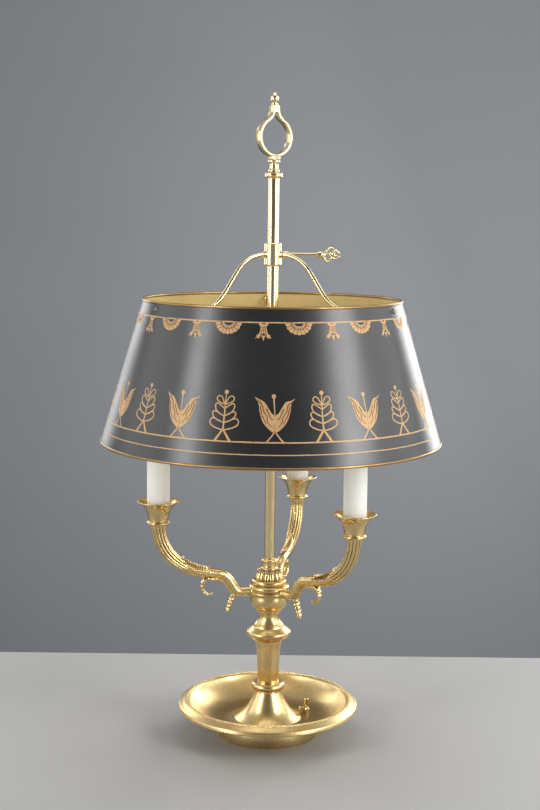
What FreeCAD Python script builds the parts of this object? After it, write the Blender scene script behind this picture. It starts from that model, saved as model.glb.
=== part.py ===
import FreeCAD, Part
import math
import os
import re

import Sketcher

# Bouillotte lamp: a dished brass base, a turned column, three cast candle arms and a painted
# shade that slides and turns on a central rod. Millimetres, +Z up, origin under the foot.
# Azimuths are in degrees from the front (-Y), positive towards +X.

Vector = FreeCAD.Vector
UP = Vector(0, 0, 1)

SIZES = {
    # Foot ring, loading weight and felt
    "foot_radius": 64.5,
    "foot_height": 16.5,
    "foot_wall": 3.0,
    "foot_edge": 0.8,
    "foot_flange": 4.5,
    "foot_flange_thick": 3.0,
    "felt_recess": 0.5,
    "felt_thick": 2.0,
    "weight_web": 6.0,
    "weight_recess": 14.0,
    "weight_channel": 9.0,
    "weight_channel_depth": 8.0,
    "side_gap": 0.3,
    # Dish
    "tray_radius": 112.0,
    "tray_wall": 1.5,
    "tray_depth": 25.3,
    "dish_floor": 60.0,
    "lip_reach": 8.3,
    "lip_shelf": 4.4,
    "lip_fall": 7.1,
    "lip_drop": 3.3,
    "bead_ring_width": 3.8,
    # Centre pipe with its washer and nut
    "pipe_radius": 4.9,
    "pipe_bore": 3.6,
    "pipe_hole": 5.05,
    "pipe_foot_gap": 3.8,
    "pipe_stand_up": 4.3,
    "washer_radius": 12.0,
    "washer_thick": 1.5,
    "base_nut_flats": 17.0,
    "base_nut_thick": 4.5,
    "thread_gap": 0.1,
    # Column
    "flare_radius": 42.0,
    "flare_edge": 0.7,
    "flare_knee": 23.4,
    "flare_knee_up": 18.2,
    "flare_top": 15.4,
    "flare_height": 36.0,
    "ring_neck": 16.2,
    "ring_bulge": 4.8,
    "ring_edge": 0.7,
    "barrel_foot": 13.3,
    "barrel_middle": 14.4,
    "barrel_middle_up": 34.0,
    "barrel_top": 17.4,
    "barrel_height": 53.5,
    "collar_radius": 28.3,
    "collar_waist": 18.4,
    "collar_nose_up": 9.8,
    "collar_shoulder": 19.9,
    "collar_shoulder_up": 17.4,
    "collar_height": 19.5,
    "neck_foot": 17.8,
    "neck_waist": 12.7,
    "neck_waist_up": 12.5,
    "neck_top": 14.2,
    "neck_height": 17.0,
    # Hub
    "hub_lip": 16.8,
    "hub_belly": 23.2,
    "hub_belly_up": 21.0,
    "hub_ring_radius": 24.0,
    "hub_height": 34.0,
    "hub_cavity": 17.5,
    "hub_floor": 10.0,
    "hub_seat": 21.0,
    "top_ring_radius": 20.0,
    "top_ring_height": 7.0,
    "crown_radius": 17.4,
    "crown_top": 16.4,
    "crown_height": 12.0,
    "crown_flutes": 16,
    "crown_flute": 1.3,
    "rod_socket_radius": 10.2,
    "rod_socket_waist": 8.8,
    "rod_socket_height": 13.4,
    "rod_socket_floor": 5.5,
    "rod_socket_web": 1.0,
    # Rod and finial
    "rod_radius": 6.5,
    "rod_bore": 5.0,
    "rod_length": 477.5,
    "rod_gap": 0.05,
    "cap_radius": 10.4,
    "cap_height": 6.3,
    "cap_socket": 4.0,
    "stud_radius": 3.0,
    "stud_length": 12.0,
    "stem_ring": 6.2,
    "stem_neck": 5.3,
    "stem_disc": 6.8,
    "stem_height": 15.6,
    "handle_radius": 23.5,
    "handle_band": 3.0,
    "handle_depth": 10.0,
    "handle_centre_up": 26.0,
    "handle_block": 4.4,
    "handle_height": 63.0,
    "handle_azimuth": 125.0,
    "button_radius": 4.7,
    "button_height": 15.5,
    # Candle arms
    "arm_azimuth": 45.0,
    "arm_count": 3,
    "arm_reach": 139.5,
    "arm_stub": 5.8,
    "arm_stub_up": 26.5,
    "arm_elbow": 41.0,
    "arm_crest": 55.8,
    "arm_crest_up": 22.9,
    "arm_belly": 101.3,
    "arm_belly_up": 30.1,
    "arm_rise": 60.7,
    "arm_top_up": 88.5,
    "arm_leaf_thick": 7.0,
    "arm_horn_thick": 8.6,
    "arm_horn_mouth": 9.6,
    "arm_ribs": 12,
    "arm_flute": 0.9,
    "tenon_radius": 4.0,
    "tenon_end": 12.6,
    "tenon_gap": 0.15,
    "arm_nut_flats": 11.0,
    "arm_nut_thick": 3.0,
    "arm_nut_seat": 16.3,
    "nipple_radius": 4.9,
    "nipple_length": 9.0,
    "scroll_thick": 2.6,
    "scroll_tip": 1.5,
    "scroll_eye": 2.3,
    "tendril_thick": 2.2,
    "drop_length": 23.0,
    "drop_beads": 5,
    "drop_bead": 3.1,
    # Candles
    "cup_neck": 10.2,
    "cup_bead": 13.2,
    "cup_waist": 12.9,
    "cup_throat": 16.8,
    "cup_rim": 25.2,
    "cup_height": 30.2,
    "cup_floor": 4.0,
    "cup_ledge": 16.0,
    "cup_bore": 9.8,
    "holder_base": 8.5,
    "holder_base_thick": 6.0,
    "holder_stem": 4.0,
    "holder_radius": 10.2,
    "holder_shell_up": 76.0,
    "holder_height": 110.0,
    "holder_bore": 6.1,
    "holder_bore_depth": 22.0,
    "sleeve_radius": 13.75,
    "sleeve_wall": 1.4,
    "sleeve_height": 101.6,
    "sleeve_gap": 0.2,
    "bulb_base": 5.95,
    "bulb_base_height": 23.5,
    "bulb_radius": 16.0,
    "bulb_neck": 5.8,
    "bulb_height": 80.0,
    "bulb_belly_up": 28.0,
    "bulb_tip": 0.7,
    "glass_wall": 0.8,
    # Shade
    "shade_bottom_radius": 206.2,
    "shade_top_radius": 155.7,
    "shade_bottom_up": 371.0,
    "shade_height": 170.4,
    "shade_wall": 0.8,
    "shade_bead": 1.75,
    "shade_hole": 1.7,
    # Shade carriage
    "carriage_up": 582.5,
    "carriage_radius": 10.5,
    "carriage_height": 27.2,
    "carriage_arm_up": 13.5,
    "bush_radius": 8.0,
    "bush_gap": 0.05,
    "boss_radius": 3.7,
    "boss_reach": 14.0,
    "boss_depth": 4.0,
    "key_boss_radius": 4.4,
    "key_boss_reach": 18.6,
    "spider_azimuth": -57.5,
    "spider_count": 3,
    "spider_rod": 2.5,
    "spider_shoulder": 36.3,
    "spider_knee": 76.7,
    "spider_knee_up": 10.9,
    "spider_toe": 124.7,
    "spider_toe_dip": 2.0,
    "spider_bend": 45.0,
    "tab_thick": 2.0,
    "tab_radius": 5.0,
    "tab_drop": 8.0,
    "screw_up": 534.0,
    "screw_radius": 1.5,
    "screw_head": 3.6,
    "screw_head_thick": 1.9,
    "thumb_nut_radius": 4.0,
    "thumb_nut_thick": 4.5,
    "key_azimuth": 105.0,
    "key_shaft": 2.25,
    "key_hole": 2.32,
    "key_collar": 4.2,
    "key_collar_reach": 57.0,
    "key_head_length": 27.0,
    "key_head_half": 9.5,
    "key_head_thick": 4.0,
    "key_tip_gap": 0.3,
    # Switch
    "switch_azimuth": 111.0,
    "switch_reach": 49.0,
    "switch_long": 20.0,
    "switch_wide": 13.0,
    "switch_deep": 10.0,
    "switch_lug": 3.0,
    "bushing_radius": 5.9,
    "bushing_bore": 4.3,
    "bushing_height": 9.0,
    "bushing_hole": 6.0,
    "switch_nut_flats": 13.4,
    "switch_nut_thick": 5.0,
    "lever_pivot_up": 3.6,
    "lever_ball_gap": 0.05,
    "lever_neck": 1.9,
    "lever_end": 3.0,
    "lever_length": 16.5,
    "lever_lean": 13.0,
    # Cord bush
    "cord_bush_up": 8.0,
    "cord_bush_radius": 4.3,
    "cord_bush_bore": 3.0,
    "cord_bush_flange": 6.0,
    "cord_bush_flange_thick": 1.5,
    "cord_bush_tail": 6.0,
}

# Heights and places that follow from the sizes above
LEVELS = {
    "foot_inside": "foot_radius - foot_wall",
    "flange_inside": "foot_inside - foot_flange",
    "weight_up": "felt_recess + felt_thick",
    "weight_height": "foot_height - weight_up",
    "tray_top": "foot_height + tray_wall",
    "shelf_outside": "tray_radius - lip_reach",
    "shelf_inside": "shelf_outside - lip_shelf",
    "bead_centre": "shelf_outside - lip_shelf / 2",
    "washer_up": "foot_height - weight_web - washer_thick",
    "ring_up": "tray_top + flare_height",
    "ring_height": "2 * (ring_bulge + ring_edge)",
    "barrel_up": "ring_up + ring_height",
    "collar_up": "barrel_up + barrel_height",
    "neck_up": "collar_up + collar_height",
    "hub_up": "neck_up + neck_height",
    "top_ring_up": "hub_up + hub_height",
    "crown_up": "top_ring_up + top_ring_height",
    "rod_socket_up": "crown_up + crown_height",
    "pipe_top": "rod_socket_up + pipe_stand_up",
    "rod_up": "rod_socket_up + rod_socket_floor",
    "rod_socket_bore": "rod_radius + rod_gap",
    "cap_up": "rod_up + rod_length - cap_socket",
    "stem_up": "cap_up + cap_height",
    "handle_up": "stem_up + stem_height",
    "button_up": "handle_up + handle_height",
    "cup_up": "hub_up + arm_top_up + arm_stub_up",
    "holder_up": "cup_up + cup_floor",
    "sleeve_up": "cup_up + cup_ledge",
    "bulb_base_up": "holder_up + holder_height - holder_bore_depth",
    "bulb_up": "bulb_base_up + bulb_base_height",
    "sleeve_pocket": "sleeve_radius + sleeve_gap",
    "slope_length": "sqrt((shade_bottom_radius - shade_top_radius)^2 + shade_height^2)",
    "slope_in": "(shade_bottom_radius - shade_top_radius) / slope_length",
    "slope_rise": "shade_height / slope_length",
    "slope_angle": "asin(slope_in) / 1 deg",
    "half_wall": "shade_wall / 2",
    "rim_seat": "0.7 * shade_bead",
    "rim_half": "0.714 * shade_bead",
    "carriage_bore": "bush_radius + bush_gap",
    "carriage_arm_level": "carriage_up + carriage_arm_up",
    "key_tip": "bush_radius + key_tip_gap",
    "switch_across": "switch_reach * sin(switch_azimuth)",
    "switch_away": "0 - switch_reach * cos(switch_azimuth)",
    "lever_pivot_level": "foot_height + lever_pivot_up",
    "lever_ball": "bushing_bore - lever_ball_gap",
}

QUARTER = math.tan(math.radians(90 / 4))
HALF = math.tan(math.radians(180 / 4))
WORD = re.compile(r"[a-z][a-z_0-9]*")
ARM_NAMES = ("right", "back", "left")
SPIDER_NAMES = ("left", "right", "back")

doc = FreeCAD.newDocument("bouillotte_lamp")
sheet = doc.addObject("Spreadsheet::Sheet", "sizes")
for row, (alias, value) in enumerate(SIZES.items(), start=1):
    sheet.set(f"A{row}", alias.replace("_", " "))
    sheet.set(f"B{row}", str(value))
    sheet.setAlias(f"B{row}", alias)
doc.recompute()

subparts = []


def bound(text):
    """Return an expression with its plain names turned into cells of the sheet."""
    def cell(match):
        word = match.group()
        if word in SIZES:
            return "sizes." + word
        if word in LEVELS:
            return "(" + bound(LEVELS[word]) + ")"
        return word
    return WORD.sub(cell, str(text))


def value(text):
    """Return what an expression of sizes comes to, in millimetres or degrees."""
    return float(sheet.evalExpression(bound(text)))


def bulge(angle):
    """Return the bulge of an arc that turns through this many degrees."""
    return math.tan(math.radians(angle / 4))


def origin_feature(body, role):
    """Return one of a body's own origin planes or axes."""
    return next(item for item in body.Origin.OriginFeatures if item.Role == role)


def hold(sketch, geometry, end, across, up):
    """Hold one point of a sketch at a place given by two expressions."""
    for kind, axis, text in (("DistanceX", -2, across), ("DistanceY", -1, up)):
        if str(text) == "0":
            sketch.addConstraint(Sketcher.Constraint("PointOnObject", geometry, end, axis))
        else:
            rule = Sketcher.Constraint(kind, -1, 1, geometry, end, value(text))
            index = sketch.addConstraint(rule)
            sketch.setExpression(f"Constraints[{index}]", bound(text))


def draw_outline(sketch, outline):
    """Draw a closed outline of (across, up) or (across, up, bulge to the next corner)."""
    corners = [(str(c[0]), str(c[1]), c[2] if len(c) > 2 else 0) for c in outline]
    places = [Vector(value(c[0]), value(c[1]), 0) for c in corners]
    count = len(corners)
    first = sketch.GeometryCount
    middles = []
    for i, (across, up, curve) in enumerate(corners):
        j = (i + 1) % count
        start, end = places[i], places[j]
        if curve:
            next_across, next_up, _ = corners[j]
            middle_across = f"(({across}) + ({next_across})) / 2 + {curve / 2} * (({next_up}) - ({up}))"
            middle_up = f"(({up}) + ({next_up})) / 2 - {curve / 2} * (({next_across}) - ({across}))"
            middle = Vector(value(middle_across), value(middle_up), 0)
            sketch.addGeometry(Part.Arc(start, middle, end), False)
            middles.append((first + i, middle, middle_across, middle_up))
        else:
            sketch.addGeometry(Part.LineSegment(start, end), False)

    def ends(i):
        """Which end of segment i starts and which finishes it; arcs may run the other way."""
        begins = sketch.getPoint(first + i, 1).distanceToPoint(places[i])
        finishes = sketch.getPoint(first + i, 2).distanceToPoint(places[i])
        return (1, 2) if begins <= finishes else (2, 1)

    for i in range(count):
        j = (i + 1) % count
        join = Sketcher.Constraint("Coincident", first + i, ends(i)[1], first + j, ends(j)[0])
        sketch.addConstraint(join)
    for i, (across, up, _) in enumerate(corners):
        hold(sketch, first + i, ends(i)[0], across, up)
    for arc, middle, across, up in middles:
        point = sketch.addGeometry(Part.Point(middle), True)
        sketch.addConstraint(Sketcher.Constraint("PointOnObject", point, 1, arc))
        hold(sketch, point, 1, across, up)


def draw_circle(sketch, across, up, radius):
    """Draw a circle whose centre and radius follow the sheet."""
    centre = Vector(value(across), value(up), 0)
    circle = sketch.addGeometry(Part.Circle(centre, UP, value(radius)), False)
    index = sketch.addConstraint(Sketcher.Constraint("Radius", circle, value(radius)))
    sketch.setExpression(f"Constraints[{index}]", bound(radius))
    hold(sketch, circle, 3, across, up)


def new_sketch(body, name, role, offset=None, turn=None):
    """Attach a sketch to an origin plane of its body, lifted by offset, turned by turn."""
    sketch = body.newObject("Sketcher::SketchObject", name)
    sketch.AttachmentSupport = [(origin_feature(body, role), "")]
    sketch.MapMode = "FlatFace"
    if turn:
        axis, angle = turn
        sketch.AttachmentOffset = FreeCAD.Placement(Vector(), FreeCAD.Rotation(axis, value(angle)))
        sketch.setExpression("AttachmentOffset.Rotation.Angle", f"({bound(angle)}) * 1 deg")
    if offset:
        for letter, text in zip("xyz", offset):
            if str(text) != "0":
                sketch.setExpression(f"AttachmentOffset.Base.{letter}", bound(text))
    return sketch


def place(item, across="0", away="0", up="0", azimuth=None):
    """Put a sub-part in the lamp; azimuth turns its own +X to that side of the lamp."""
    for letter, text in zip("xyz", (across, away, up)):
        if str(text) != "0":
            item.setExpression(f"Placement.Base.{letter}", bound(text))
    if azimuth is not None:
        item.setExpression("Placement.Rotation.Angle", f"({bound(azimuth)} - 90) * 1 deg")


def keep(item, label):
    """Give a sub-part its name and list it for the export."""
    item.Label = label
    subparts.append(item)
    return item


def new_body(label):
    """Start a body that becomes one sub-part."""
    return keep(doc.addObject("PartDesign::Body", label), label)


def turned(label, outline, axis="V_Axis"):
    """Turn an outline on its axis, as on a lathe."""
    body = new_body(label)
    sketch = new_sketch(body, label + "_outline", "XZ_Plane")
    draw_outline(sketch, outline)
    turning = body.newObject("PartDesign::Revolution", label + "_turning")
    turning.Profile = sketch
    turning.ReferenceAxis = (sketch, [axis])
    turning.Angle = 360
    body.Tip = turning
    return body


def pad(body, sketch, length, symmetric=False):
    """Thicken a sketch into the body."""
    solid = body.newObject("PartDesign::Pad", sketch.Name + "_pad")
    solid.Profile = sketch
    solid.Length = value(length)
    solid.setExpression("Length", bound(length))
    if symmetric:
        solid.SideType = "Symmetric"
    body.Tip = solid
    return solid


def pocket(body, sketch, length=None, reverse=True):
    """Cut a sketch out of the body, through all of it when no length is given."""
    cut = body.newObject("PartDesign::Pocket", sketch.Name + "_cut")
    cut.Profile = sketch
    cut.Reversed = reverse
    if length is None:
        cut.Type = "ThroughAll"
    else:
        cut.Length = value(length)
        cut.setExpression("Length", bound(length))
    body.Tip = cut
    return cut


def around(body, features, count):
    """Repeat features evenly round the body's upright axis."""
    pattern = body.newObject("PartDesign::PolarPattern", features[0].Name + "_round")
    pattern.Originals = features
    pattern.Axis = (origin_feature(body, "Z_Axis"), [""])
    pattern.Angle = 360
    pattern.Occurrences = int(value(count))
    pattern.setExpression("Occurrences", bound(count))
    body.Tip = pattern
    return pattern


def shaped(label, shape, azimuth=None, up="0"):
    """Keep a shape that is worked out from the sheet in code."""
    item = doc.addObject("Part::Feature", label)
    item.Shape = shape
    place(item, up=up, azimuth=azimuth)
    return keep(item, label)


def rounded_path(corners, radii):
    """Join straight runs through the corners, in the XZ plane, by tangent arcs."""
    points = [Vector(x, 0, z) for x, z in corners]
    edges = []
    start = points[0]
    for i in range(1, len(points) - 1):
        before = (points[i - 1] - points[i]).normalize()
        after = (points[i + 1] - points[i]).normalize()
        half_turn = (math.pi - before.getAngle(after)) / 2
        free_before = (points[i] - start).Length
        free_after = (points[i + 1] - points[i]).Length
        if i < len(points) - 2:
            free_after /= 2
        tangent = min(radii[i - 1] * math.tan(half_turn), 0.98 * free_before, 0.98 * free_after)
        radius = tangent / math.tan(half_turn)
        arc_start = points[i] + before * tangent
        arc_end = points[i] + after * tangent
        bisector = (before + after).normalize()
        middle = points[i] + bisector * (radius / math.cos(half_turn) - radius)
        if (arc_start - start).Length > 1e-6:
            edges.append(Part.LineSegment(start, arc_start).toShape())
        edges.append(Part.Arc(arc_start, middle, arc_end).toShape())
        start = arc_end
    edges.append(Part.LineSegment(start, points[-1]).toShape())
    return Part.Wire(edges)


def stations(edges, spacing):
    """Return (place, direction, share of the length) along edges, closer where they bend."""
    length = sum(edge.Length for edge in edges)
    found = []
    done = 0
    for edge in edges:
        first, last = edge.FirstParameter, edge.LastParameter
        turn = math.degrees(edge.tangentAt(first).getAngle(edge.tangentAt(last)))
        steps = max(1, round(edge.Length / spacing), math.ceil(turn / 18))
        if done and edge.Length < 0.4 * spacing:
            steps = 0
        for step in range(steps):
            along = edge.Length * step / steps
            at = first + (last - first) * step / steps
            found.append((edge.valueAt(at), edge.tangentAt(at), (done + along) / length))
        done += edge.Length
    edge = edges[-1]
    found.append((edge.valueAt(edge.LastParameter), edge.tangentAt(edge.LastParameter), 1))
    return found


def ribbed_section(centre, direction, radius, depth, ribs):
    """Draw a round section with this many convex ribs; no depth gives a plain circle."""
    side = Vector(0, 1, 0)
    over = side.cross(direction).normalize()
    step = math.tau / ribs

    def at(angle, reach):
        return centre + side * (reach * math.cos(angle)) + over * (reach * math.sin(angle))

    edges = []
    for rib in range(ribs):
        start = rib * step
        groove = radius - depth
        arc = Part.Arc(at(start, groove), at(start + step / 2, radius), at(start + step, groove))
        edges.append(arc.toShape())
    return Part.Wire(edges)


def blend_between(marks, share):
    """Read a value between (share, value) marks."""
    for (low, first), (high, last) in zip(marks, marks[1:]):
        if share <= high:
            return first + (last - first) * (share - low) / (high - low)
    return marks[-1][1]


def drawn_out(edges, spacing, radii, depths=((0, 0), (1, 0)), ribs=4):
    """Loft sections along edges, with radius and rib depth read from marks."""
    wires = []
    for centre, direction, share in stations(edges, spacing):
        radius = blend_between(radii, share)
        depth = blend_between(depths, share)
        wires.append(ribbed_section(centre, direction, radius, depth, ribs))
    return Part.makeLoft(wires, True, False)


def hexagon(flats, thick, bore):
    """Make a hexagon nut standing on its face, bored through."""
    reach = flats / math.sqrt(3)
    corners = [Vector(reach * math.cos(k * math.pi / 3), reach * math.sin(k * math.pi / 3), 0)
               for k in range(7)]
    nut = Part.Face(Part.makePolygon(corners)).extrude(UP * thick)
    top = 0.49 * flats
    chamfer = Part.makeCone(top + thick * math.sqrt(3), top, thick)
    return nut.common(chamfer).cut(Part.makeCylinder(bore, thick))


def radial_rectangle(near, far, half, azimuth):
    """Return the corners of a rectangle that runs out from the axis towards an azimuth."""
    corners = []
    for reach, side in ((near, -1), (far, -1), (far, 1), (near, 1)):
        x = f"({reach}) * sin({azimuth}) + {side} * ({half}) * cos({azimuth})"
        y = f"0 - ({reach}) * cos({azimuth}) + {side} * ({half}) * sin({azimuth})"
        corners.append((x, y))
    return corners


def make_foot():
    """Foot ring, the iron weight inside it, the felt under that and the bush for the cord."""
    foot = turned("foot_ring", [
        ("foot_inside", "0"),
        ("foot_radius - foot_edge", "0", QUARTER),
        ("foot_radius", "foot_edge"),
        ("foot_radius", "foot_height - foot_edge", QUARTER),
        ("foot_radius - foot_edge", "foot_height"),
        ("flange_inside", "foot_height"),
        ("flange_inside", "foot_height - foot_flange_thick"),
        ("foot_inside", "foot_height - foot_flange_thick"),
    ])
    hole = new_sketch(foot, "foot_cord_hole", "XZ_Plane")
    draw_circle(hole, "0", "cord_bush_up", "cord_bush_radius + thread_gap")
    pocket(foot, hole, reverse=False)

    weight = turned("base_weight", [
        ("weight_recess", "0"),
        ("flange_inside - side_gap", "0"),
        ("flange_inside - side_gap", "weight_height"),
        ("pipe_hole", "weight_height"),
        ("pipe_hole", "weight_height - weight_web"),
        ("weight_recess", "weight_height - weight_web"),
    ])
    well = new_sketch(weight, "weight_switch_well", "XY_Plane")
    draw_outline(well, radial_rectangle("switch_reach - switch_wide / 2 - 1", "foot_radius",
                                        "switch_long / 2 + 1", "switch_azimuth"))
    pocket(weight, well)
    channel = new_sketch(weight, "weight_cord_channel", "XY_Plane")
    draw_outline(channel, [
        ("0 - weight_channel / 2", "0"),
        ("weight_channel / 2", "0"),
        ("weight_channel / 2", "foot_radius"),
        ("0 - weight_channel / 2", "foot_radius"),
    ])
    pocket(weight, channel, "weight_channel_depth")
    place(weight, up="weight_up")

    felt = turned("felt_pad", [
        ("0", "0"),
        ("foot_inside - side_gap", "0"),
        ("foot_inside - side_gap", "felt_thick"),
        ("0", "felt_thick"),
    ])
    place(felt, up="felt_recess")

    bush = new_body("cord_bush")
    flange = new_sketch(bush, "cord_bush_flange_ring", "XZ_Plane", ("0", "0", "0 - foot_radius"))
    draw_circle(flange, "0", "cord_bush_up", "cord_bush_flange")
    draw_circle(flange, "0", "cord_bush_up", "cord_bush_bore")
    pad(bush, flange, "cord_bush_flange_thick").Reversed = True
    shank = new_sketch(bush, "cord_bush_shank", "XZ_Plane", ("0", "0", "0 - foot_radius"))
    draw_circle(shank, "0", "cord_bush_up", "cord_bush_radius")
    draw_circle(shank, "0", "cord_bush_up", "cord_bush_bore")
    pad(bush, shank, "cord_bush_tail")


def make_tray():
    """The dish with its rolled lip, and the beaded ring on the shelf inside the lip."""
    tray = turned("base_tray", [
        ("pipe_hole", "0"),
        ("dish_floor", "0", 0.22),
        ("shelf_inside - 1.1", "tray_depth - 3.1"),
        ("shelf_outside - 0.5", "tray_depth - 1.7"),
        ("tray_radius - 3.4", "tray_depth - 1.8 - lip_drop"),
        ("tray_radius - 2.1", "tray_depth - 1.6 - lip_fall"),
        ("tray_radius - 1", "tray_depth - 2.2 - lip_fall", 0.5),
        ("tray_radius", "tray_depth - lip_fall", 0.35),
        ("tray_radius - 2.4", "tray_depth - lip_drop", -0.1),
        ("shelf_outside", "tray_depth"),
        ("shelf_inside", "tray_depth"),
        ("shelf_inside - 1.7", "tray_depth - 1.1"),
        ("shelf_inside - 2.7", "tray_depth - 3.0", -0.22),
        ("dish_floor - 0.5", "tray_wall"),
        ("pipe_hole", "tray_wall"),
    ])
    hole = new_sketch(tray, "tray_switch_hole", "XY_Plane")
    draw_circle(hole, "switch_across", "switch_away", "bushing_hole")
    pocket(tray, hole)
    place(tray, up="foot_height")

    beads = turned("bead_ring", [
        ("bead_centre - bead_ring_width / 2", "0"),
        ("bead_centre + bead_ring_width / 2", "0", HALF),
    ])
    place(beads, up="foot_height + tray_depth")


def make_pipe():
    """The threaded pipe that clamps the whole stack, with its washer and nut."""
    pipe = turned("centre_pipe", [
        ("pipe_bore", "pipe_foot_gap"),
        ("pipe_radius", "pipe_foot_gap"),
        ("pipe_radius", "pipe_top"),
        ("pipe_bore", "pipe_top"),
    ])
    place(pipe)

    washer = turned("base_washer", [
        ("pipe_hole", "0"),
        ("washer_radius", "0"),
        ("washer_radius", "washer_thick"),
        ("pipe_hole", "washer_thick"),
    ])
    place(washer, up="washer_up")
    nut = hexagon(value("base_nut_flats"), value("base_nut_thick"), value("pipe_radius + thread_gap"))
    shaped("base_nut", nut, up="washer_up - base_nut_thick")


def make_column():
    """The five turned pieces between the dish and the hub."""
    foot = turned("column_foot", [
        ("pipe_hole", "0"),
        ("flare_radius", "0"),
        ("flare_radius", "flare_edge", -0.16),
        ("flare_knee", "flare_knee_up", -0.05),
        ("flare_top", "flare_height - 2"),
        ("flare_top", "flare_height"),
        ("pipe_hole", "flare_height"),
    ])
    place(foot, up="tray_top")

    ring = turned("column_ring", [
        ("pipe_hole", "0"),
        ("ring_neck", "0"),
        ("ring_neck", "ring_edge", HALF),
        ("ring_neck", "ring_height - ring_edge"),
        ("ring_neck", "ring_height"),
        ("pipe_hole", "ring_height"),
    ])
    place(ring, up="ring_up")

    barrel = turned("column_barrel", [
        ("pipe_hole", "0"),
        ("barrel_foot", "0", -0.01),
        ("barrel_middle", "barrel_middle_up", -0.09),
        ("barrel_top", "barrel_height"),
        ("pipe_hole", "barrel_height"),
    ])
    place(barrel, up="barrel_up")

    collar = turned("column_collar", [
        ("pipe_hole", "0"),
        ("collar_waist - 0.4", "0"),
        ("collar_waist", "0.9", 0.12),
        ("collar_radius - 1.3", "collar_nose_up - 2.2", 0.35),
        ("collar_radius - 1.1", "collar_nose_up + 2.2", -0.1),
        ("collar_shoulder", "collar_shoulder_up"),
        ("collar_shoulder - 0.6", "collar_height"),
        ("pipe_hole", "collar_height"),
    ])
    place(collar, up="collar_up")

    neck = turned("column_neck", [
        ("pipe_hole", "0"),
        ("neck_foot", "0"),
        ("neck_foot", "0.5", -0.2),
        ("neck_waist", "neck_waist_up", -0.1),
        ("neck_top", "neck_height - 0.6"),
        ("neck_top", "neck_height"),
        ("pipe_hole", "neck_height"),
    ])
    place(neck, up="neck_up")


def make_hub():
    """The hollow hub that the arms screw into, its ring, the fluted crown and the rod socket."""
    hub = turned("hub_body", [
        ("pipe_hole", "0"),
        ("hub_lip - 1.6", "0"),
        ("hub_lip", "1.2"),
        ("hub_lip", "2.6"),
        ("hub_lip + 0.8", "3.4", 0.32),
        ("hub_belly", "hub_belly_up"),
        ("hub_belly + 0.2", "hub_belly_up + 1.4"),
        ("hub_ring_radius", "hub_belly_up + 1.8", 0.5),
        ("hub_ring_radius", "hub_belly_up + 5.6"),
        ("hub_ring_radius - 0.9", "hub_belly_up + 6.3"),
        ("hub_ring_radius - 0.1", "hub_belly_up + 7", 0.4),
        ("hub_ring_radius - 0.1", "hub_height - 0.7"),
        ("hub_ring_radius - 1.2", "hub_height"),
        ("hub_cavity", "hub_height"),
        ("hub_cavity", "hub_floor"),
        ("pipe_hole", "hub_floor"),
    ])
    seat = new_sketch(hub, "hub_arm_seat", "YZ_Plane", ("0", "0", "hub_seat"))
    draw_circle(seat, "0", "arm_stub_up", "arm_stub + tenon_gap")
    seat_cut = pocket(hub, seat)
    through = new_sketch(hub, "hub_arm_hole", "YZ_Plane")
    draw_circle(through, "0", "arm_stub_up", "tenon_radius + tenon_gap")
    hole_cut = pocket(hub, through)
    around(hub, [seat_cut, hole_cut], "arm_count")
    place(hub, up="hub_up", azimuth="arm_azimuth")

    ring = turned("hub_ring", [
        ("pipe_hole", "0"),
        ("top_ring_radius", "0", 0.45),
        ("top_ring_radius", "top_ring_height - 0.4"),
        ("top_ring_radius - 2", "top_ring_height"),
        ("pipe_hole", "top_ring_height"),
    ])
    place(ring, up="top_ring_up")

    crown = turned("hub_cap", [
        ("pipe_hole", "0"),
        ("crown_radius", "0"),
        ("crown_radius", "1.4"),
        ("crown_radius - 1.6", "2.4", -0.12),
        ("crown_top", "crown_height - 0.6"),
        ("crown_top - 0.6", "crown_height"),
        ("pipe_hole", "crown_height"),
    ])
    flute = new_sketch(crown, "crown_flute_round", "XY_Plane", ("0", "0", "2.4"))
    draw_circle(flute, "crown_top + crown_flute / 3", "0", "crown_flute")
    around(crown, [pocket(crown, flute)], "crown_flutes")
    place(crown, up="crown_up")

    socket = turned("rod_socket", [
        ("pipe_hole", "0"),
        ("rod_socket_radius - 0.4", "0", 0.5),
        ("rod_socket_radius - 0.4", "2.6"),
        ("rod_socket_waist", "3.2"),
        ("rod_socket_waist", "rod_socket_height - 4.4"),
        ("rod_socket_radius - 1", "rod_socket_height - 3.8", 0.5),
        ("rod_socket_radius - 1", "rod_socket_height - 0.8"),
        ("rod_socket_waist - 0.6", "rod_socket_height"),
        ("rod_socket_bore", "rod_socket_height"),
        ("rod_socket_bore", "rod_socket_floor"),
        ("0", "rod_socket_floor"),
        ("0", "rod_socket_floor - rod_socket_web"),
        ("pipe_hole", "rod_socket_floor - rod_socket_web"),
    ])
    place(socket, up="rod_socket_up")


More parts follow.
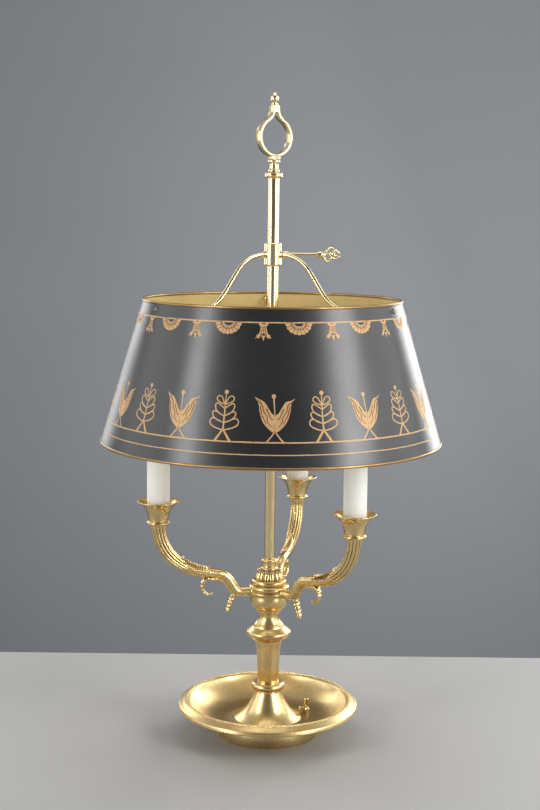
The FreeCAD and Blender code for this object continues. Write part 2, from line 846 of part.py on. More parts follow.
def make_rod():
    """The lamp rod, its cap, and the finial: stem, flat loop handle and button."""
    rod = turned("lamp_rod", [
        ("rod_bore", "0"),
        ("rod_radius", "0"),
        ("rod_radius", "rod_length"),
        ("rod_bore", "rod_length"),
    ])
    place(rod, up="rod_up")

    cap = turned("rod_cap", [
        ("rod_socket_bore", "0"),
        ("cap_radius - 0.8", "0"),
        ("cap_radius - 0.2", "0.8", 0.2),
        ("cap_radius - 0.2", "cap_height - 0.9"),
        ("cap_radius - 1.2", "cap_height"),
        ("stud_radius + thread_gap", "cap_height"),
        ("stud_radius + thread_gap", "cap_socket"),
        ("rod_socket_bore", "cap_socket"),
    ])
    place(cap, up="cap_up")

    stem = turned("finial_stem", [
        ("0", "0 - stud_length"),
        ("stud_radius", "0 - stud_length"),
        ("stud_radius", "0"),
        ("stem_ring - 0.6", "0", 0.6),
        ("stem_ring - 0.6", "4.2"),
        ("stem_neck", "4.8", -0.06),
        ("stem_neck", "stem_height - 5.2"),
        ("stem_disc - 0.7", "stem_height - 4.6", 0.6),
        ("stem_disc - 0.7", "stem_height - 0.4"),
        ("stem_neck", "stem_height"),
        ("0", "stem_height"),
    ])
    place(stem, up="stem_up")

    # The loop is round below and draws in through an ogee to the block at its top
    low, high, mouth = 75, 60, 14.4
    inside = "(handle_radius - handle_band)"
    outer_foot = f"handle_radius * cos({low})"
    outer_turn = f"handle_radius * cos({high})"
    sweep = f"((handle_radius * cos({high}) - handle_block) / (1 - cos({high})))"
    outer_top = f"handle_centre_up + handle_radius * sin({high}) + {sweep} * sin({high})"
    foot_up = f"handle_centre_up - handle_radius * sin({low})"
    turn_up = f"handle_centre_up + handle_radius * sin({high})"
    inner_turn = f"{inside} * cos({high})"
    inner_turn_up = f"handle_centre_up + {inside} * sin({high})"
    inner_sweep = f"({sweep} + handle_band)"
    inner_mouth = f"{inner_turn} - {inner_sweep} * (cos({mouth}) - cos({high}))"
    inner_mouth_up = f"{inner_turn_up} + {inner_sweep} * (sin({high}) - sin({mouth}))"
    outer = [
        (f"0 - {outer_foot}", "0"),
        (outer_foot, "0"),
        (outer_foot, foot_up, bulge(low + high)),
        (outer_turn, turn_up, -bulge(high)),
        ("handle_block", outer_top),
        ("handle_block", "handle_height"),
        ("0 - handle_block", "handle_height"),
        ("0 - handle_block", outer_top, -bulge(high)),
        (f"0 - {outer_turn}", turn_up, bulge(low + high)),
        (f"0 - {outer_foot}", foot_up),
    ]
    handle = new_body("loop_handle")
    band = new_sketch(handle, "loop_outside", "XZ_Plane")
    draw_outline(band, outer)
    pad(handle, band, "handle_depth", symmetric=True)
    opening = new_sketch(handle, "loop_inside", "XZ_Plane")
    draw_outline(opening, [
        (f"0 - ({inner_turn})", inner_turn_up, bulge(180 + 2 * high)),
        (inner_turn, inner_turn_up, -bulge(high - mouth)),
        (inner_mouth, inner_mouth_up),
        (f"0 - ({inner_mouth})", inner_mouth_up, -bulge(high - mouth)),
    ])
    hollow = pocket(handle, opening)
    hollow.SideType = "Symmetric"
    place(handle, up="handle_up", azimuth="handle_azimuth")

    button = turned("finial_button", [
        ("0", "0"),
        ("button_radius - 1.4", "0", 0.45),
        ("button_radius - 1.4", "3"),
        ("button_radius - 2.1", "3.9"),
        ("button_radius - 0.5", "5.4", 0.3),
        ("button_radius - 1.3", "button_height - 3.4"),
        ("button_radius - 2.9", "button_height - 2.2"),
        ("button_radius - 3", "button_height - 1.1", 0.25),
        ("button_radius / 8", "button_height"),
        ("0", "button_height"),
    ])
    place(button, up="button_up")


def arm_casting():
    """One candle arm as cast: stub and tenon, S-curve, ribbed horn, C-scroll and beaded drop."""
    level = value("hub_up + arm_stub_up")
    seat = value("hub_seat")
    stub = value("arm_stub")
    reach = value("arm_reach")
    path = rounded_path([
        (seat, 0),
        (value("arm_elbow"), 0),
        (value("arm_crest"), value("arm_crest_up")),
        (value("arm_belly"), value("arm_belly_up")),
        (reach, value("arm_rise")),
        (reach, value("arm_top_up")),
    ], (8, 20, 60, 57))
    # The stem is of one thickness up to the crest, where the horn begins to swell
    stem_edges, horn_edges = path.Edges[:4], path.Edges[4:]
    section = Part.Wire(Part.makeCircle(stub, Vector(seat, 0, 0), Vector(1, 0, 0)))
    stem = Part.Wire(stem_edges).makePipeShell([section], True, False)
    radii = (
        (0, stub),
        (0.33, value("arm_leaf_thick")),
        (0.63, value("arm_horn_thick")),
        (0.91, value("arm_horn_thick")),
        (1, value("arm_horn_mouth")),
    )
    depths = ((0, 0), (0.25, 0), (0.43, value("arm_flute")), (1, value("arm_flute")))
    horn = drawn_out(horn_edges, 10, radii, depths, int(value("arm_ribs")))

    tenon_start = value("tenon_end")
    tenon = Part.makeCylinder(value("tenon_radius"), seat - tenon_start + 1, Vector(tenon_start, 0, 0),
                              Vector(1, 0, 0))
    nipple = Part.makeCylinder(value("nipple_radius"), value("nipple_length") + 1,
                               Vector(reach, 0, value("arm_top_up") - 1), UP)

    thick, tip = value("scroll_thick"), value("scroll_tip")
    crest, crest_up = value("arm_crest"), value("arm_crest_up")
    hook = [
        (crest + 8, crest_up - 0.5),
        (crest + 25, crest_up - 3.5),
        (crest + 30.5, crest_up - 13),
        (crest + 25.5, crest_up - 24.5),
        (crest + 17.5, crest_up - 23.4),
    ]
    scroll = drawn_out(rounded_path(hook, (16, 9, 8)).Edges, 6, ((0, thick), (0.4, thick), (1, tip)))
    eye = Part.makeSphere(value("scroll_eye"), Vector(hook[-1][0] - 0.6, 0, hook[-1][1]))

    slim = value("tendril_thick")
    elbow = value("arm_elbow")
    tendril_path = rounded_path([
        (crest + 14, crest_up - 4.5),
        (crest + 1.5, crest_up - 8.5),
        (elbow + 4.5, 1.5),
        (elbow + 3, -2.5),
    ], (16, 14))
    tendril = drawn_out(tendril_path.Edges, 7, ((0, slim * 0.7), (0.5, slim), (1, slim * 1.2)))

    # Beads on one stem, the largest in the middle, leaning outwards as they hang
    beads = int(value("drop_beads"))
    length = value("drop_length")
    pitch = length / beads
    largest = value("drop_bead")
    top = Vector(elbow + 3, 0, -2)
    lean = Vector(math.sin(math.radians(20)), 0, -math.cos(math.radians(20)))
    drop = Part.makeCone(largest * 0.75, largest * 0.4, length, top, lean)
    for k in range(beads):
        size = largest * (1 - 0.09 * abs(k - 1.5))
        drop = drop.fuse(Part.makeSphere(size, top + lean * (pitch * (k + 0.5))))

    casting = stem.fuse([horn, tenon, nipple, scroll, eye, tendril, drop])
    casting.translate(Vector(0, 0, level))
    return casting


def make_arms():
    """Three castings round the hub, their nuts, and a candle on each."""
    casting = arm_casting()
    nut = hexagon(value("arm_nut_flats"), value("arm_nut_thick"), value("tenon_radius + thread_gap"))
    nut.rotate(Vector(), Vector(0, 1, 0), -90)
    nut.translate(Vector(value("arm_nut_seat"), 0, value("hub_up + arm_stub_up")))
    nuts = []
    count = int(value("arm_count"))
    for k, side in enumerate(ARM_NAMES):
        azimuth = f"arm_azimuth + {k} * 360 / arm_count"
        shaped("arm_" + side, casting, azimuth=azimuth)
        across = f"arm_reach * sin({azimuth})"
        away = f"0 - arm_reach * cos({azimuth})"
        make_candle(side, across, away)
    for k in range(count):
        turned_nut = nut.copy()
        turned_nut.rotate(Vector(), UP, k * 360 / count)
        nuts.append(turned_nut)
    shaped("arm_nuts", Part.makeCompound(nuts), azimuth="arm_azimuth")


def make_candle(side, across, away):
    """Cup, lamp holder, sleeve and bulb at the end of one arm."""
    cup = turned("cup_" + side, [
        ("nipple_radius + tenon_gap", "0"),
        ("cup_neck", "0"),
        ("cup_neck + 0.2", "1.2"),
        ("cup_bead", "1.8", 0.8),
        ("cup_bead", "5"),
        ("cup_waist", "5.6", -0.05),
        ("cup_throat", "20", -0.16),
        ("cup_rim", "cup_height - 1.4", 0.8),
        ("cup_rim - 0.8", "cup_height", 0.16),
        ("cup_throat - 1.6", "19.6"),
        ("sleeve_pocket", "18"),
        ("sleeve_pocket", "cup_ledge"),
        ("cup_bore", "cup_ledge"),
        ("cup_bore", "cup_floor"),
        ("nipple_radius + tenon_gap", "cup_floor"),
    ])
    place(cup, across, away, "cup_up")

    holder = turned("socket_" + side, [
        ("nipple_radius + thread_gap", "0"),
        ("holder_base", "0"),
        ("holder_base", "holder_base_thick"),
        ("holder_stem", "holder_base_thick"),
        ("holder_stem", "holder_shell_up"),
        ("holder_radius - 1", "holder_shell_up"),
        ("holder_radius", "holder_shell_up + 1"),
        ("holder_radius", "holder_height"),
        ("holder_bore", "holder_height"),
        ("holder_bore", "holder_height - holder_bore_depth"),
        ("0", "holder_height - holder_bore_depth"),
        ("0", "holder_base_thick"),
        ("nipple_radius + thread_gap", "holder_base_thick - 0.5"),
    ])
    place(holder, across, away, "holder_up")

    sleeve = turned("sleeve_" + side, [
        ("sleeve_radius - sleeve_wall", "0"),
        ("sleeve_radius", "0"),
        ("sleeve_radius", "sleeve_height - 0.5"),
        ("sleeve_radius - 0.5", "sleeve_height"),
        ("sleeve_radius - sleeve_wall", "sleeve_height"),
    ])
    place(sleeve, across, away, "sleeve_up")

    base = turned("bulb_base_" + side, [
        ("0", "0"),
        ("2", "0"),
        ("bulb_base - 0.6", "2.4"),
        ("bulb_base", "3.2"),
        ("bulb_base", "bulb_base_height"),
        ("0", "bulb_base_height"),
    ])
    place(base, across, away, "bulb_base_up")

    glass = turned("bulb_glass_" + side, [
        ("bulb_neck - glass_wall", "0"),
        ("bulb_neck", "0", -0.05),
        ("bulb_neck + 2.4", "8", 0.22),
        ("bulb_radius", "bulb_belly_up", 0.15),
        ("bulb_radius / 3", "bulb_height - 12", 0.1),
        ("bulb_tip", "bulb_height"),
        ("0", "bulb_height"),
        ("0", "bulb_height - glass_wall - 1"),
        ("bulb_tip", "bulb_height - glass_wall - 1", -0.1),
        ("bulb_radius / 3 - glass_wall", "bulb_height - 12.6", -0.15),
        ("bulb_radius - glass_wall", "bulb_belly_up", -0.22),
        ("bulb_neck + 2.4 - glass_wall", "8.4", 0.05),
    ])
    place(glass, across, away, "bulb_up")


def slope_point(along, out):
    """Return a place in the shade's section, so far up the slope and out from its middle."""
    across = f"shade_bottom_radius - ({along}) * slope_in + ({out}) * slope_rise"
    up = f"({along}) * slope_rise + ({out}) * slope_in"
    return across, up


def make_shade():
    """The conical shell between its two rolled wire rims."""
    shell = turned("shade_shell", [
        slope_point("rim_seat", "0 - half_wall"),
        slope_point("rim_seat", "half_wall"),
        slope_point("slope_length - rim_seat", "half_wall"),
        slope_point("slope_length - rim_seat", "0 - half_wall"),
    ])
    hole = new_sketch(shell, "shade_screw_hole", "YZ_Plane",
                      ("0", "screw_up - shade_bottom_up", "shade_top_radius - 10"),
                      (Vector(1, 0, 0), "0 - slope_angle"))
    hole_shift = "0 - (10 + (shade_bottom_up + shade_height - screw_up) * slope_in / slope_rise) * slope_in"
    draw_circle(hole, "0", hole_shift, "shade_hole")
    cut = pocket(shell, hole)
    around(shell, [cut], "spider_count")
    place(shell, up="shade_bottom_up", azimuth="spider_azimuth")

    wrap = bulge(360 - 2 * math.degrees(math.acos(0.7)))
    bottom = turned("shade_bottom_rim", [
        slope_point("rim_seat", "rim_half") + (-wrap,),
        slope_point("rim_seat", "0 - rim_half"),
    ])
    place(bottom, up="shade_bottom_up")
    top = turned("shade_top_rim", [
        slope_point("slope_length - rim_seat", "0 - rim_half") + (-wrap,),
        slope_point("slope_length - rim_seat", "rim_half"),
    ])
    place(top, up="shade_bottom_up")


def make_carriage():
    """Bush and collar on the rod, the spider, its screws and nuts, and the clamp key."""
    bush = turned("collar_bush", [
        ("rod_radius + bush_gap", "0"),
        ("bush_radius", "0"),
        ("bush_radius", "carriage_height"),
        ("rod_radius + bush_gap", "carriage_height"),
    ])
    place(bush, up="carriage_up")

    collar = turned("shade_collar", [
        ("carriage_bore", "0"),
        ("carriage_radius - 1.2", "0"),
        ("carriage_radius", "1.8"),
        ("carriage_radius", "carriage_height - 0.8"),
        ("carriage_radius - 0.8", "carriage_height"),
        ("carriage_bore", "carriage_height"),
    ])
    boss = new_sketch(collar, "collar_arm_boss", "YZ_Plane", ("0", "0", "carriage_bore + 0.6"))
    draw_circle(boss, "0", "carriage_arm_up", "boss_radius")
    boss_pad = pad(collar, boss, "boss_reach - carriage_bore - 0.6")
    around(collar, [boss_pad], "spider_count")
    key_turn = (Vector(0, 1, 0), "key_azimuth - spider_azimuth")
    key_boss = new_sketch(collar, "collar_key_boss", "YZ_Plane", None, key_turn)
    draw_circle(key_boss, "0", "carriage_arm_up", "key_boss_radius")
    pad(collar, key_boss, "key_boss_reach")
    bore = new_sketch(collar, "collar_bore_again", "XY_Plane")
    draw_circle(bore, "0", "0", "carriage_bore")
    pocket(collar, bore)
    seat = new_sketch(collar, "collar_arm_seat", "YZ_Plane", ("0", "0", "boss_reach - boss_depth"))
    draw_circle(seat, "0", "carriage_arm_up", "spider_rod + thread_gap")
    around(collar, [pocket(collar, seat)], "spider_count")
    key_hole = new_sketch(collar, "collar_key_hole", "YZ_Plane", None, key_turn)
    draw_circle(key_hole, "0", "carriage_arm_up", "key_hole")
    pocket(collar, key_hole)
    place(collar, up="carriage_up", azimuth="spider_azimuth")

    make_spider()
    make_key()


def wall_frame():
    """Return the screw's place on the shell's middle, and the wall's normal and slope there."""
    share = (value("screw_up") - value("shade_bottom_up")) / value("shade_height")
    across = value("shade_bottom_radius") - share * value("shade_bottom_radius - shade_top_radius")
    normal = Vector(value("slope_rise"), 0, value("slope_in"))
    slope = Vector(-value("slope_in"), 0, value("slope_rise"))
    return Vector(across, 0, value("screw_up")), normal, slope


def make_spider():
    """Ogee arms from the collar to the shell, each with a flat tab, a screw and a thumb nut."""
    centre, normal, slope = wall_frame()
    half_wall = value("half_wall")
    clear = 0.1
    thick = value("tab_thick")
    drop = value("tab_drop")
    rod = value("spider_rod")
    tab_inside = centre - normal * (half_wall + clear + thick)
    end = tab_inside - slope * drop
    level = value("carriage_arm_level")
    toe = value("spider_toe")
    bend = value("spider_bend")
    path = rounded_path([
        (value("boss_reach - boss_depth + thread_gap"), level),
        (value("spider_shoulder"), level),
        (value("spider_knee"), end.z + value("spider_knee_up")),
        (toe, end.z - value("spider_toe_dip")),
        (end.x + normal.x * thick / 2, end.z + normal.z * thick / 2),
    ], (bend, bend * 1.15, bend * 4.2))
    section = Part.Wire(Part.makeCircle(rod, path.Edges[0].valueAt(0), Vector(1, 0, 0)))
    bent_rod = path.makePipeShell([section], True, False)
    radius = value("tab_radius")
    eye = Part.makeCylinder(radius, thick, tab_inside, normal)
    lower = Part.makeCylinder(rod + 0.6, thick, tab_inside - slope * drop, normal)
    side = Vector(0, 1, 0)
    corners = [tab_inside + side * radius, tab_inside - slope * drop + side * (rod + 0.6),
               tab_inside - slope * drop - side * (rod + 0.6), tab_inside - side * radius]
    web = Part.Face(Part.makePolygon(corners + corners[:1])).extrude(normal * thick)
    arm = bent_rod.fuse([eye, lower, web])
    arm = arm.cut(Part.makeCylinder(value("shade_hole"), 4 * thick, tab_inside - normal * thick, normal))

    nut_thick = value("thumb_nut_thick")
    shank = value("screw_radius")
    head_thick = value("screw_head_thick")
    head = value("screw_head")
    outside = centre + normal * half_wall
    reach = nut_thick + thick + 1.5
    length = reach + 2 * half_wall
    screw = Part.makeCylinder(shank, length, outside - normal * length, normal)
    dome = Part.makeSphere(head * 1.2, outside - normal * (head * 1.2 - head_thick))
    disc = Part.makeCylinder(head, head_thick + 1, outside, normal)
    screw = screw.fuse(disc.common(dome))
    inner = tab_inside - normal * 0.05
    nut = Part.makeCylinder(value("thumb_nut_radius"), nut_thick, inner, normal * -1)
    nut = nut.makeChamfer(0.5, [edge for edge in nut.Edges if edge.Closed])
    nut = nut.cut(Part.makeCylinder(shank + value("thread_gap"), nut_thick, inner, normal * -1))
    screws, nuts = [], []
    count = int(value("spider_count"))
    for k, name in enumerate(SPIDER_NAMES):
        shaped("spider_arm_" + name, arm, azimuth=f"spider_azimuth + {k} * 360 / spider_count")
    for k in range(count):
        for made, group in ((screw, screws), (nut, nuts)):
            piece = made.copy()
            piece.rotate(Vector(), UP, k * 360 / count)
            group.append(piece)
    shaped("shade_screws", Part.makeCompound(screws), azimuth="spider_azimuth")
    shaped("shade_nuts", Part.makeCompound(nuts), azimuth="spider_azimuth")


def make_key():
    """The clamp key: shaft, collar and a pierced leaf-shaped head."""
    key = turned("shade_key", [
        ("key_tip", "0"),
        ("key_tip", "key_shaft - 0.5"),
        ("key_tip + 0.5", "key_shaft"),
        ("key_collar_reach - 2", "key_shaft", 0.1),
        ("key_collar_reach", "key_collar - 0.4", -0.5),
        ("key_collar_reach + 2", "key_collar - 0.4"),
        ("key_collar_reach + 3", "key_shaft"),
        ("key_collar_reach + 6", "key_shaft - 0.4"),
        ("key_collar_reach + 6", "0"),
    ], axis="H_Axis")
    start = "key_collar_reach + 2"
    half = "key_head_half"
    leaf = [
        (start, "0 - key_shaft"),
        (f"{start} + 0.2 * key_head_length", f"0 - {half}", 0.6),
        (f"{start} + 0.45 * key_head_length", f"0 - 0.55 * {half}", 0.5),
        (f"{start} + 0.78 * key_head_length", f"0 - 0.6 * {half}", 0.5),
        (f"{start} + 0.86 * key_head_length", f"0 - 0.2 * {half}", 0.8),
        (f"{start} + 0.86 * key_head_length", f"0.2 * {half}", 0.5),
        (f"{start} + 0.78 * key_head_length", f"0.6 * {half}", 0.5),
        (f"{start} + 0.45 * key_head_length", f"0.55 * {half}", 0.6),
        (f"{start} + 0.2 * key_head_length", f"{half}"),
        (start, "key_shaft"),
    ]
    head = new_sketch(key, "key_head_leaf", "XZ_Plane")
    draw_outline(head, leaf)
    pad(key, head, "key_head_thick", symmetric=True)
    piercing = new_sketch(key, "key_head_piercing", "XZ_Plane")
    for share, rise in ((0.28, 0.42), (0.28, -0.42), (0.62, 0.42), (0.62, -0.42)):
        draw_circle(piercing, f"{start} + {share} * key_head_length", f"{rise} * {half}", f"0.2 * {half}")
    pierced = pocket(key, piercing)
    pierced.SideType = "Symmetric"
    place(key, up="carriage_arm_level", azimuth="key_azimuth")


def make_switch():
    """The toggle switch: housing under the dish, bushing through it, nut and lever."""
    housing = new_body("switch_body")
    box = new_sketch(housing, "switch_box", "XY_Plane")
    draw_outline(box, [
        ("0 - switch_wide / 2", "0 - switch_long / 2"),
        ("switch_wide / 2", "0 - switch_long / 2"),
        ("switch_wide / 2", "switch_long / 2"),
        ("0 - switch_wide / 2", "switch_long / 2"),
    ])
    pad(housing, box, "switch_deep")
    lugs = new_sketch(housing, "switch_lugs", "XY_Plane")
    for side in (-1, 1):
        along = f"{side} * switch_long / 4"
        draw_outline(lugs, [
            ("0 - 2.5", f"{along} - 0.6"),
            ("2.5", f"{along} - 0.6"),
            ("2.5", f"{along} + 0.6"),
            ("0 - 2.5", f"{along} + 0.6"),
        ])
    pad(housing, lugs, "switch_lug").Reversed = True
    place(housing, "switch_across", "switch_away", "foot_height - switch_deep", "switch_azimuth")

    bushing = turned("switch_bushing", [
        ("bushing_bore", "0"),
        ("bushing_radius", "0"),
        ("bushing_radius", "bushing_height - 0.5"),
        ("bushing_radius - 0.5", "bushing_height"),
        ("bushing_bore", "bushing_height"),
    ])
    place(bushing, "switch_across", "switch_away", "foot_height")

    nut = hexagon(value("switch_nut_flats"), value("switch_nut_thick"), value("bushing_radius + rod_gap"))
    item = shaped("switch_nut", nut, azimuth="switch_azimuth + 30")
    place(item, "switch_across", "switch_away", "tray_top")

    shoulder = 40
    lever = turned("switch_lever", [
        ("0", f"0 - lever_ball * sin({shoulder})"),
        (f"lever_ball * cos({shoulder})", f"0 - lever_ball * sin({shoulder})", bulge(2 * shoulder)),
        (f"lever_ball * cos({shoulder})", f"lever_ball * sin({shoulder})"),
        ("lever_neck", f"lever_ball * sin({shoulder}) + 0.6"),
        ("lever_neck", "lever_length - 7"),
        ("lever_end - 0.5", "lever_length - 4", 0.2),
        ("lever_end - 0.4", "lever_length - 0.7", 0.3),
        ("lever_end - 1.2", "lever_length"),
        ("0", "lever_length"),
    ])
    lever.Placement = FreeCAD.Placement(Vector(), FreeCAD.Rotation(Vector(0, 1, 0), value("lever_lean")))
    lever.setExpression("Placement.Rotation.Angle", f"{bound('lever_lean')} * 1 deg")
    place(lever, "switch_across", "switch_away", "lever_pivot_level")


def check_and_export():
    """Stop on any failed object, then write each sub-part's solid."""
    doc.recompute()
    failed = [item.Name for item in doc.Objects if "Invalid" in item.State or "Error" in item.State]
    for item in subparts:
        if item.Shape.isNull() or not item.Shape.isValid() or not item.Shape.Solids:
            failed.append(item.Label + " has no valid solid")
    if failed:
        raise RuntimeError("failed: " + ", ".join(failed))
    os.makedirs("parts", exist_ok=True)
    for item in subparts:
        item.Shape.exportStep(f"parts/{item.Label}.step")


make_foot()
make_tray()
make_pipe()
make_column()
make_hub()
make_rod()
make_arms()
make_shade()
make_carriage()
make_switch()
check_and_export()
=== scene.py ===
"""Bouillotte lamp: fine modelling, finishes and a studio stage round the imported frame.

Outlines are in millimetres, as a turner would write them, and are fitted to the frame's nodes.
"""
import math
import random

import bmesh
import bpy
from mathutils import Matrix, Vector


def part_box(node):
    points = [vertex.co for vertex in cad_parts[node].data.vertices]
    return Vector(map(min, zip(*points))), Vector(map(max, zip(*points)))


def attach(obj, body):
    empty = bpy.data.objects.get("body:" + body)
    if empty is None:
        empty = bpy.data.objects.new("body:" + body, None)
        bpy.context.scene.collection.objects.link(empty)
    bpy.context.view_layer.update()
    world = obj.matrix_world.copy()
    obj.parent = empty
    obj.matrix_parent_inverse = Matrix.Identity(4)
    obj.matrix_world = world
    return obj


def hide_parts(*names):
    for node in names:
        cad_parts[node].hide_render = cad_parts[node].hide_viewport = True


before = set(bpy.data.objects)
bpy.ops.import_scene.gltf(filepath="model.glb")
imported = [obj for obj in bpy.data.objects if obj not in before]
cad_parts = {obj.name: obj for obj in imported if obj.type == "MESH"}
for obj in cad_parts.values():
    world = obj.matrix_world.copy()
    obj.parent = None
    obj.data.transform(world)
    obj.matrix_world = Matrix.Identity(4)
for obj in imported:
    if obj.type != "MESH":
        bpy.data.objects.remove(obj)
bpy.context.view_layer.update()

bl_info = {
    "name": "Bouillotte lamp",
    "version": (1, 0, 0),
    "blender": (4, 5, 0),
    "location": "View3D > Sidebar > Lamp",
    "description": "Builds the visible pieces of a bouillotte lamp round its packed frame",
    "category": "Object",
}

MM = 0.001
QUARTER = math.tan(math.radians(90 / 4))
HALF = 1.0
SIDES = ("left", "right", "back")


# Sizes and colours that a user would change

class LampBrass(bpy.types.PropertyGroup):
    """Colours, dulling and painted recess shade of the brass."""
    cast_tint: bpy.props.FloatVectorProperty(
        name="Cast brass", description="Colour of the base, column and arms",
        subtype="COLOR", size=3, min=0, max=1, default=(0.80, 0.605, 0.29))
    drawn_tint: bpy.props.FloatVectorProperty(
        name="Drawn brass", description="Colour of the rod, spider, key and finial",
        subtype="COLOR", size=3, min=0, max=1, default=(0.88, 0.72, 0.42))
    # Also the colour that the painted shade in the brass's recesses darkens towards.
    tarnish_and_shade_tint: bpy.props.FloatVectorProperty(
        name="Tarnish", description="Colour of the brass where it has dulled",
        subtype="COLOR", size=3, min=0, max=1, default=(0.25, 0.165, 0.065))
    gilt_tint: bpy.props.FloatVectorProperty(
        name="Gilt wire", description="Colour of the shade's rolled edges",
        subtype="COLOR", size=3, min=0, max=1, default=(0.42, 0.26, 0.11))
    polish: bpy.props.FloatProperty(
        name="Polish", description="Roughness of the brightest brass",
        subtype="FACTOR", min=0.02, max=1, default=0.20)


class LampShade(bpy.types.PropertyGroup):
    """Colours and painted ornament of the shade."""
    paint: bpy.props.FloatVectorProperty(
        name="Paint", description="Colour of the shade outside",
        subtype="COLOR", size=3, min=0, max=1, default=(0.013, 0.0135, 0.014))
    lining: bpy.props.FloatVectorProperty(
        name="Lining", description="Colour of the shade inside",
        subtype="COLOR", size=3, min=0, max=1, default=(0.74, 0.575, 0.25))
    ornament: bpy.props.FloatVectorProperty(
        name="Ornament", description="Colour of the painted figures",
        subtype="COLOR", size=3, min=0, max=1, default=(0.56, 0.345, 0.155))
    tulips: bpy.props.IntProperty(
        name="Tulips", description="Tulips round the foot of the shade, with a tree after each",
        min=3, max=24, default=11)
    tassels: bpy.props.IntProperty(
        name="Tassels", description="Tassels round the top of the shade, with a rosette after each",
        min=3, max=24, default=13)
    ground_line: bpy.props.FloatProperty(
        name="Ground line", description="Height of the line that the tulips stand on",
        unit="LENGTH", min=0.3, max=0.6, default=0.3986)
    lower_line: bpy.props.FloatProperty(
        name="Lower line", description="Height of the line below the tulips",
        unit="LENGTH", min=0.3, max=0.6, default=0.3855)
    upper_line: bpy.props.FloatProperty(
        name="Upper line", description="Height of the line that the tassels hang from",
        unit="LENGTH", min=0.3, max=0.6, default=0.526)


class LampStage(bpy.types.PropertyGroup):
    """Floor, backdrop, lamps and camera."""
    floor_colour: bpy.props.FloatVectorProperty(
        name="Floor", description="Colour of the table top",
        subtype="COLOR", size=3, min=0, max=1, default=(0.405, 0.40, 0.385))
    wall_colour: bpy.props.FloatVectorProperty(
        name="Backdrop", description="Colour of the backdrop",
        subtype="COLOR", size=3, min=0, max=1, default=(0.27, 0.28, 0.295))
    lamp_power: bpy.props.FloatProperty(
        name="Lamp power", description="Strength of all the studio lamps together",
        subtype="FACTOR", min=0, max=4, soft_max=2, default=1.0)
    camera_distance: bpy.props.FloatProperty(
        name="Camera distance", description="How far the camera stands in front of the lamp",
        unit="LENGTH", min=0.5, max=5, default=1.71065)
    camera_height: bpy.props.FloatProperty(
        name="Camera height", description="Height of the camera above the table",
        unit="LENGTH", min=0, max=3, default=0.64506)
    camera_pitch: bpy.props.FloatProperty(
        name="Camera pitch", description="How far the camera looks down",
        subtype="ANGLE", min=-1.5, max=1.5, default=math.radians(7.72))
    camera_roll: bpy.props.FloatProperty(
        name="Camera roll", description="How far the camera leans to its left",
        subtype="ANGLE", min=-0.5, max=0.5, default=math.radians(0.66))


# Mesh helpers

def arc_points(start, end, bulge, step):
    """Points after start, up to and with end; bulge is the tangent of a quarter of the turn."""
    if not bulge:
        return [end]
    chord = end - start
    left = Vector((-chord.y, chord.x))
    centre = (start + end) / 2 + left * (1 - bulge * bulge) / (4 * bulge)
    turn = 4 * math.atan(bulge)
    count = max(2, math.ceil(abs(turn) / step))
    arm = start - centre
    return [centre + Matrix.Rotation(turn * (k + 1) / count, 2) @ arm for k in range(count)]


def drawn(outline, easing=0.3, step=math.radians(9)):
    """Turn an outline of (across, up) or (across, up, bulge) corners into eased points."""
    corners = [Vector(c[:2]) for c in outline]
    raw = []
    for i, corner in enumerate(outline):
        bulge = corner[2] if len(corner) > 2 else 0
        raw += arc_points(corners[i], corners[(i + 1) % len(corners)], bulge, step)
    points = []
    count = len(raw)
    for i, here in enumerate(raw):
        back, ahead = raw[i - 1] - here, raw[(i + 1) % count] - here
        if back.length < 1e-6 or ahead.length < 1e-6:
            continue
        turn = math.pi - back.angle(ahead)
        on_axis = abs(here.x) < 1e-6
        if turn < math.radians(22) or not easing or on_axis:
            points.append(here)
            continue
        reach = min(easing * math.tan(turn / 2), 0.42 * back.length, 0.42 * ahead.length)
        first = here + back.normalized() * reach
        last = here + ahead.normalized() * reach
        crown = (first + last) / 4 + here / 2
        points += [first, crown, last]
    return points


def mesh_object(name, vertices, faces, uvs=None, smooth_angle=40):
    """Make an object from vertices in metres, with outward faces and smooth shading."""
    mesh = bpy.data.meshes.new(name)
    mesh.from_pydata(vertices, [], faces)
    if uvs:
        layer = mesh.uv_layers.new(name="along")
        for loop in mesh.loops:
            layer.data[loop.index].uv = uvs[loop.vertex_index]
    tidy = bmesh.new()
    tidy.from_mesh(mesh)
    bmesh.ops.remove_doubles(tidy, verts=tidy.verts, dist=1e-7)
    bmesh.ops.dissolve_degenerate(tidy, edges=tidy.edges, dist=1e-8)
    bmesh.ops.recalc_face_normals(tidy, faces=tidy.faces)
    limit = math.radians(smooth_angle)
    for face in tidy.faces:
        face.smooth = True
    for edge in tidy.edges:
        if len(edge.link_faces) == 2 and edge.calc_face_angle(0) > limit:
            edge.smooth = False
    tidy.to_mesh(mesh)
    tidy.free()
    piece = bpy.data.objects.new(name, mesh)
    bpy.context.scene.collection.objects.link(piece)
    return piece


def lathe(name, points, around=96, place=Matrix(), reshape=None, smooth_angle=40):
    """Turn closed points in millimetres about the up axis; reshape may move each of them."""
    vertices, uvs, faces = [], [], []
    run = 0
    lengths = []
    for i, point in enumerate(points):
        run += (point - points[i - 1]).length if i else 0
        lengths.append(run)
    for k in range(around):
        angle = math.tau * k / around
        for point, length in zip(points, lengths):
            radius, up = point
            if reshape:
                radius, up = reshape(angle, radius, up)
            at = Vector((radius * math.cos(angle), radius * math.sin(angle), up)) * MM
            vertices.append(place @ at)
            uvs.append((k / around, length * MM))
    count = len(points)
    for k in range(around):
        for i in range(count):
            j = (i + 1) % count
            if points[i].x < 1e-6 and points[j].x < 1e-6:
                continue
            a, b = k * count, (k + 1) % around * count
            faces.append((a + i, b + i, b + j, a + j))
    return mesh_object(name, vertices, faces, uvs, smooth_angle)


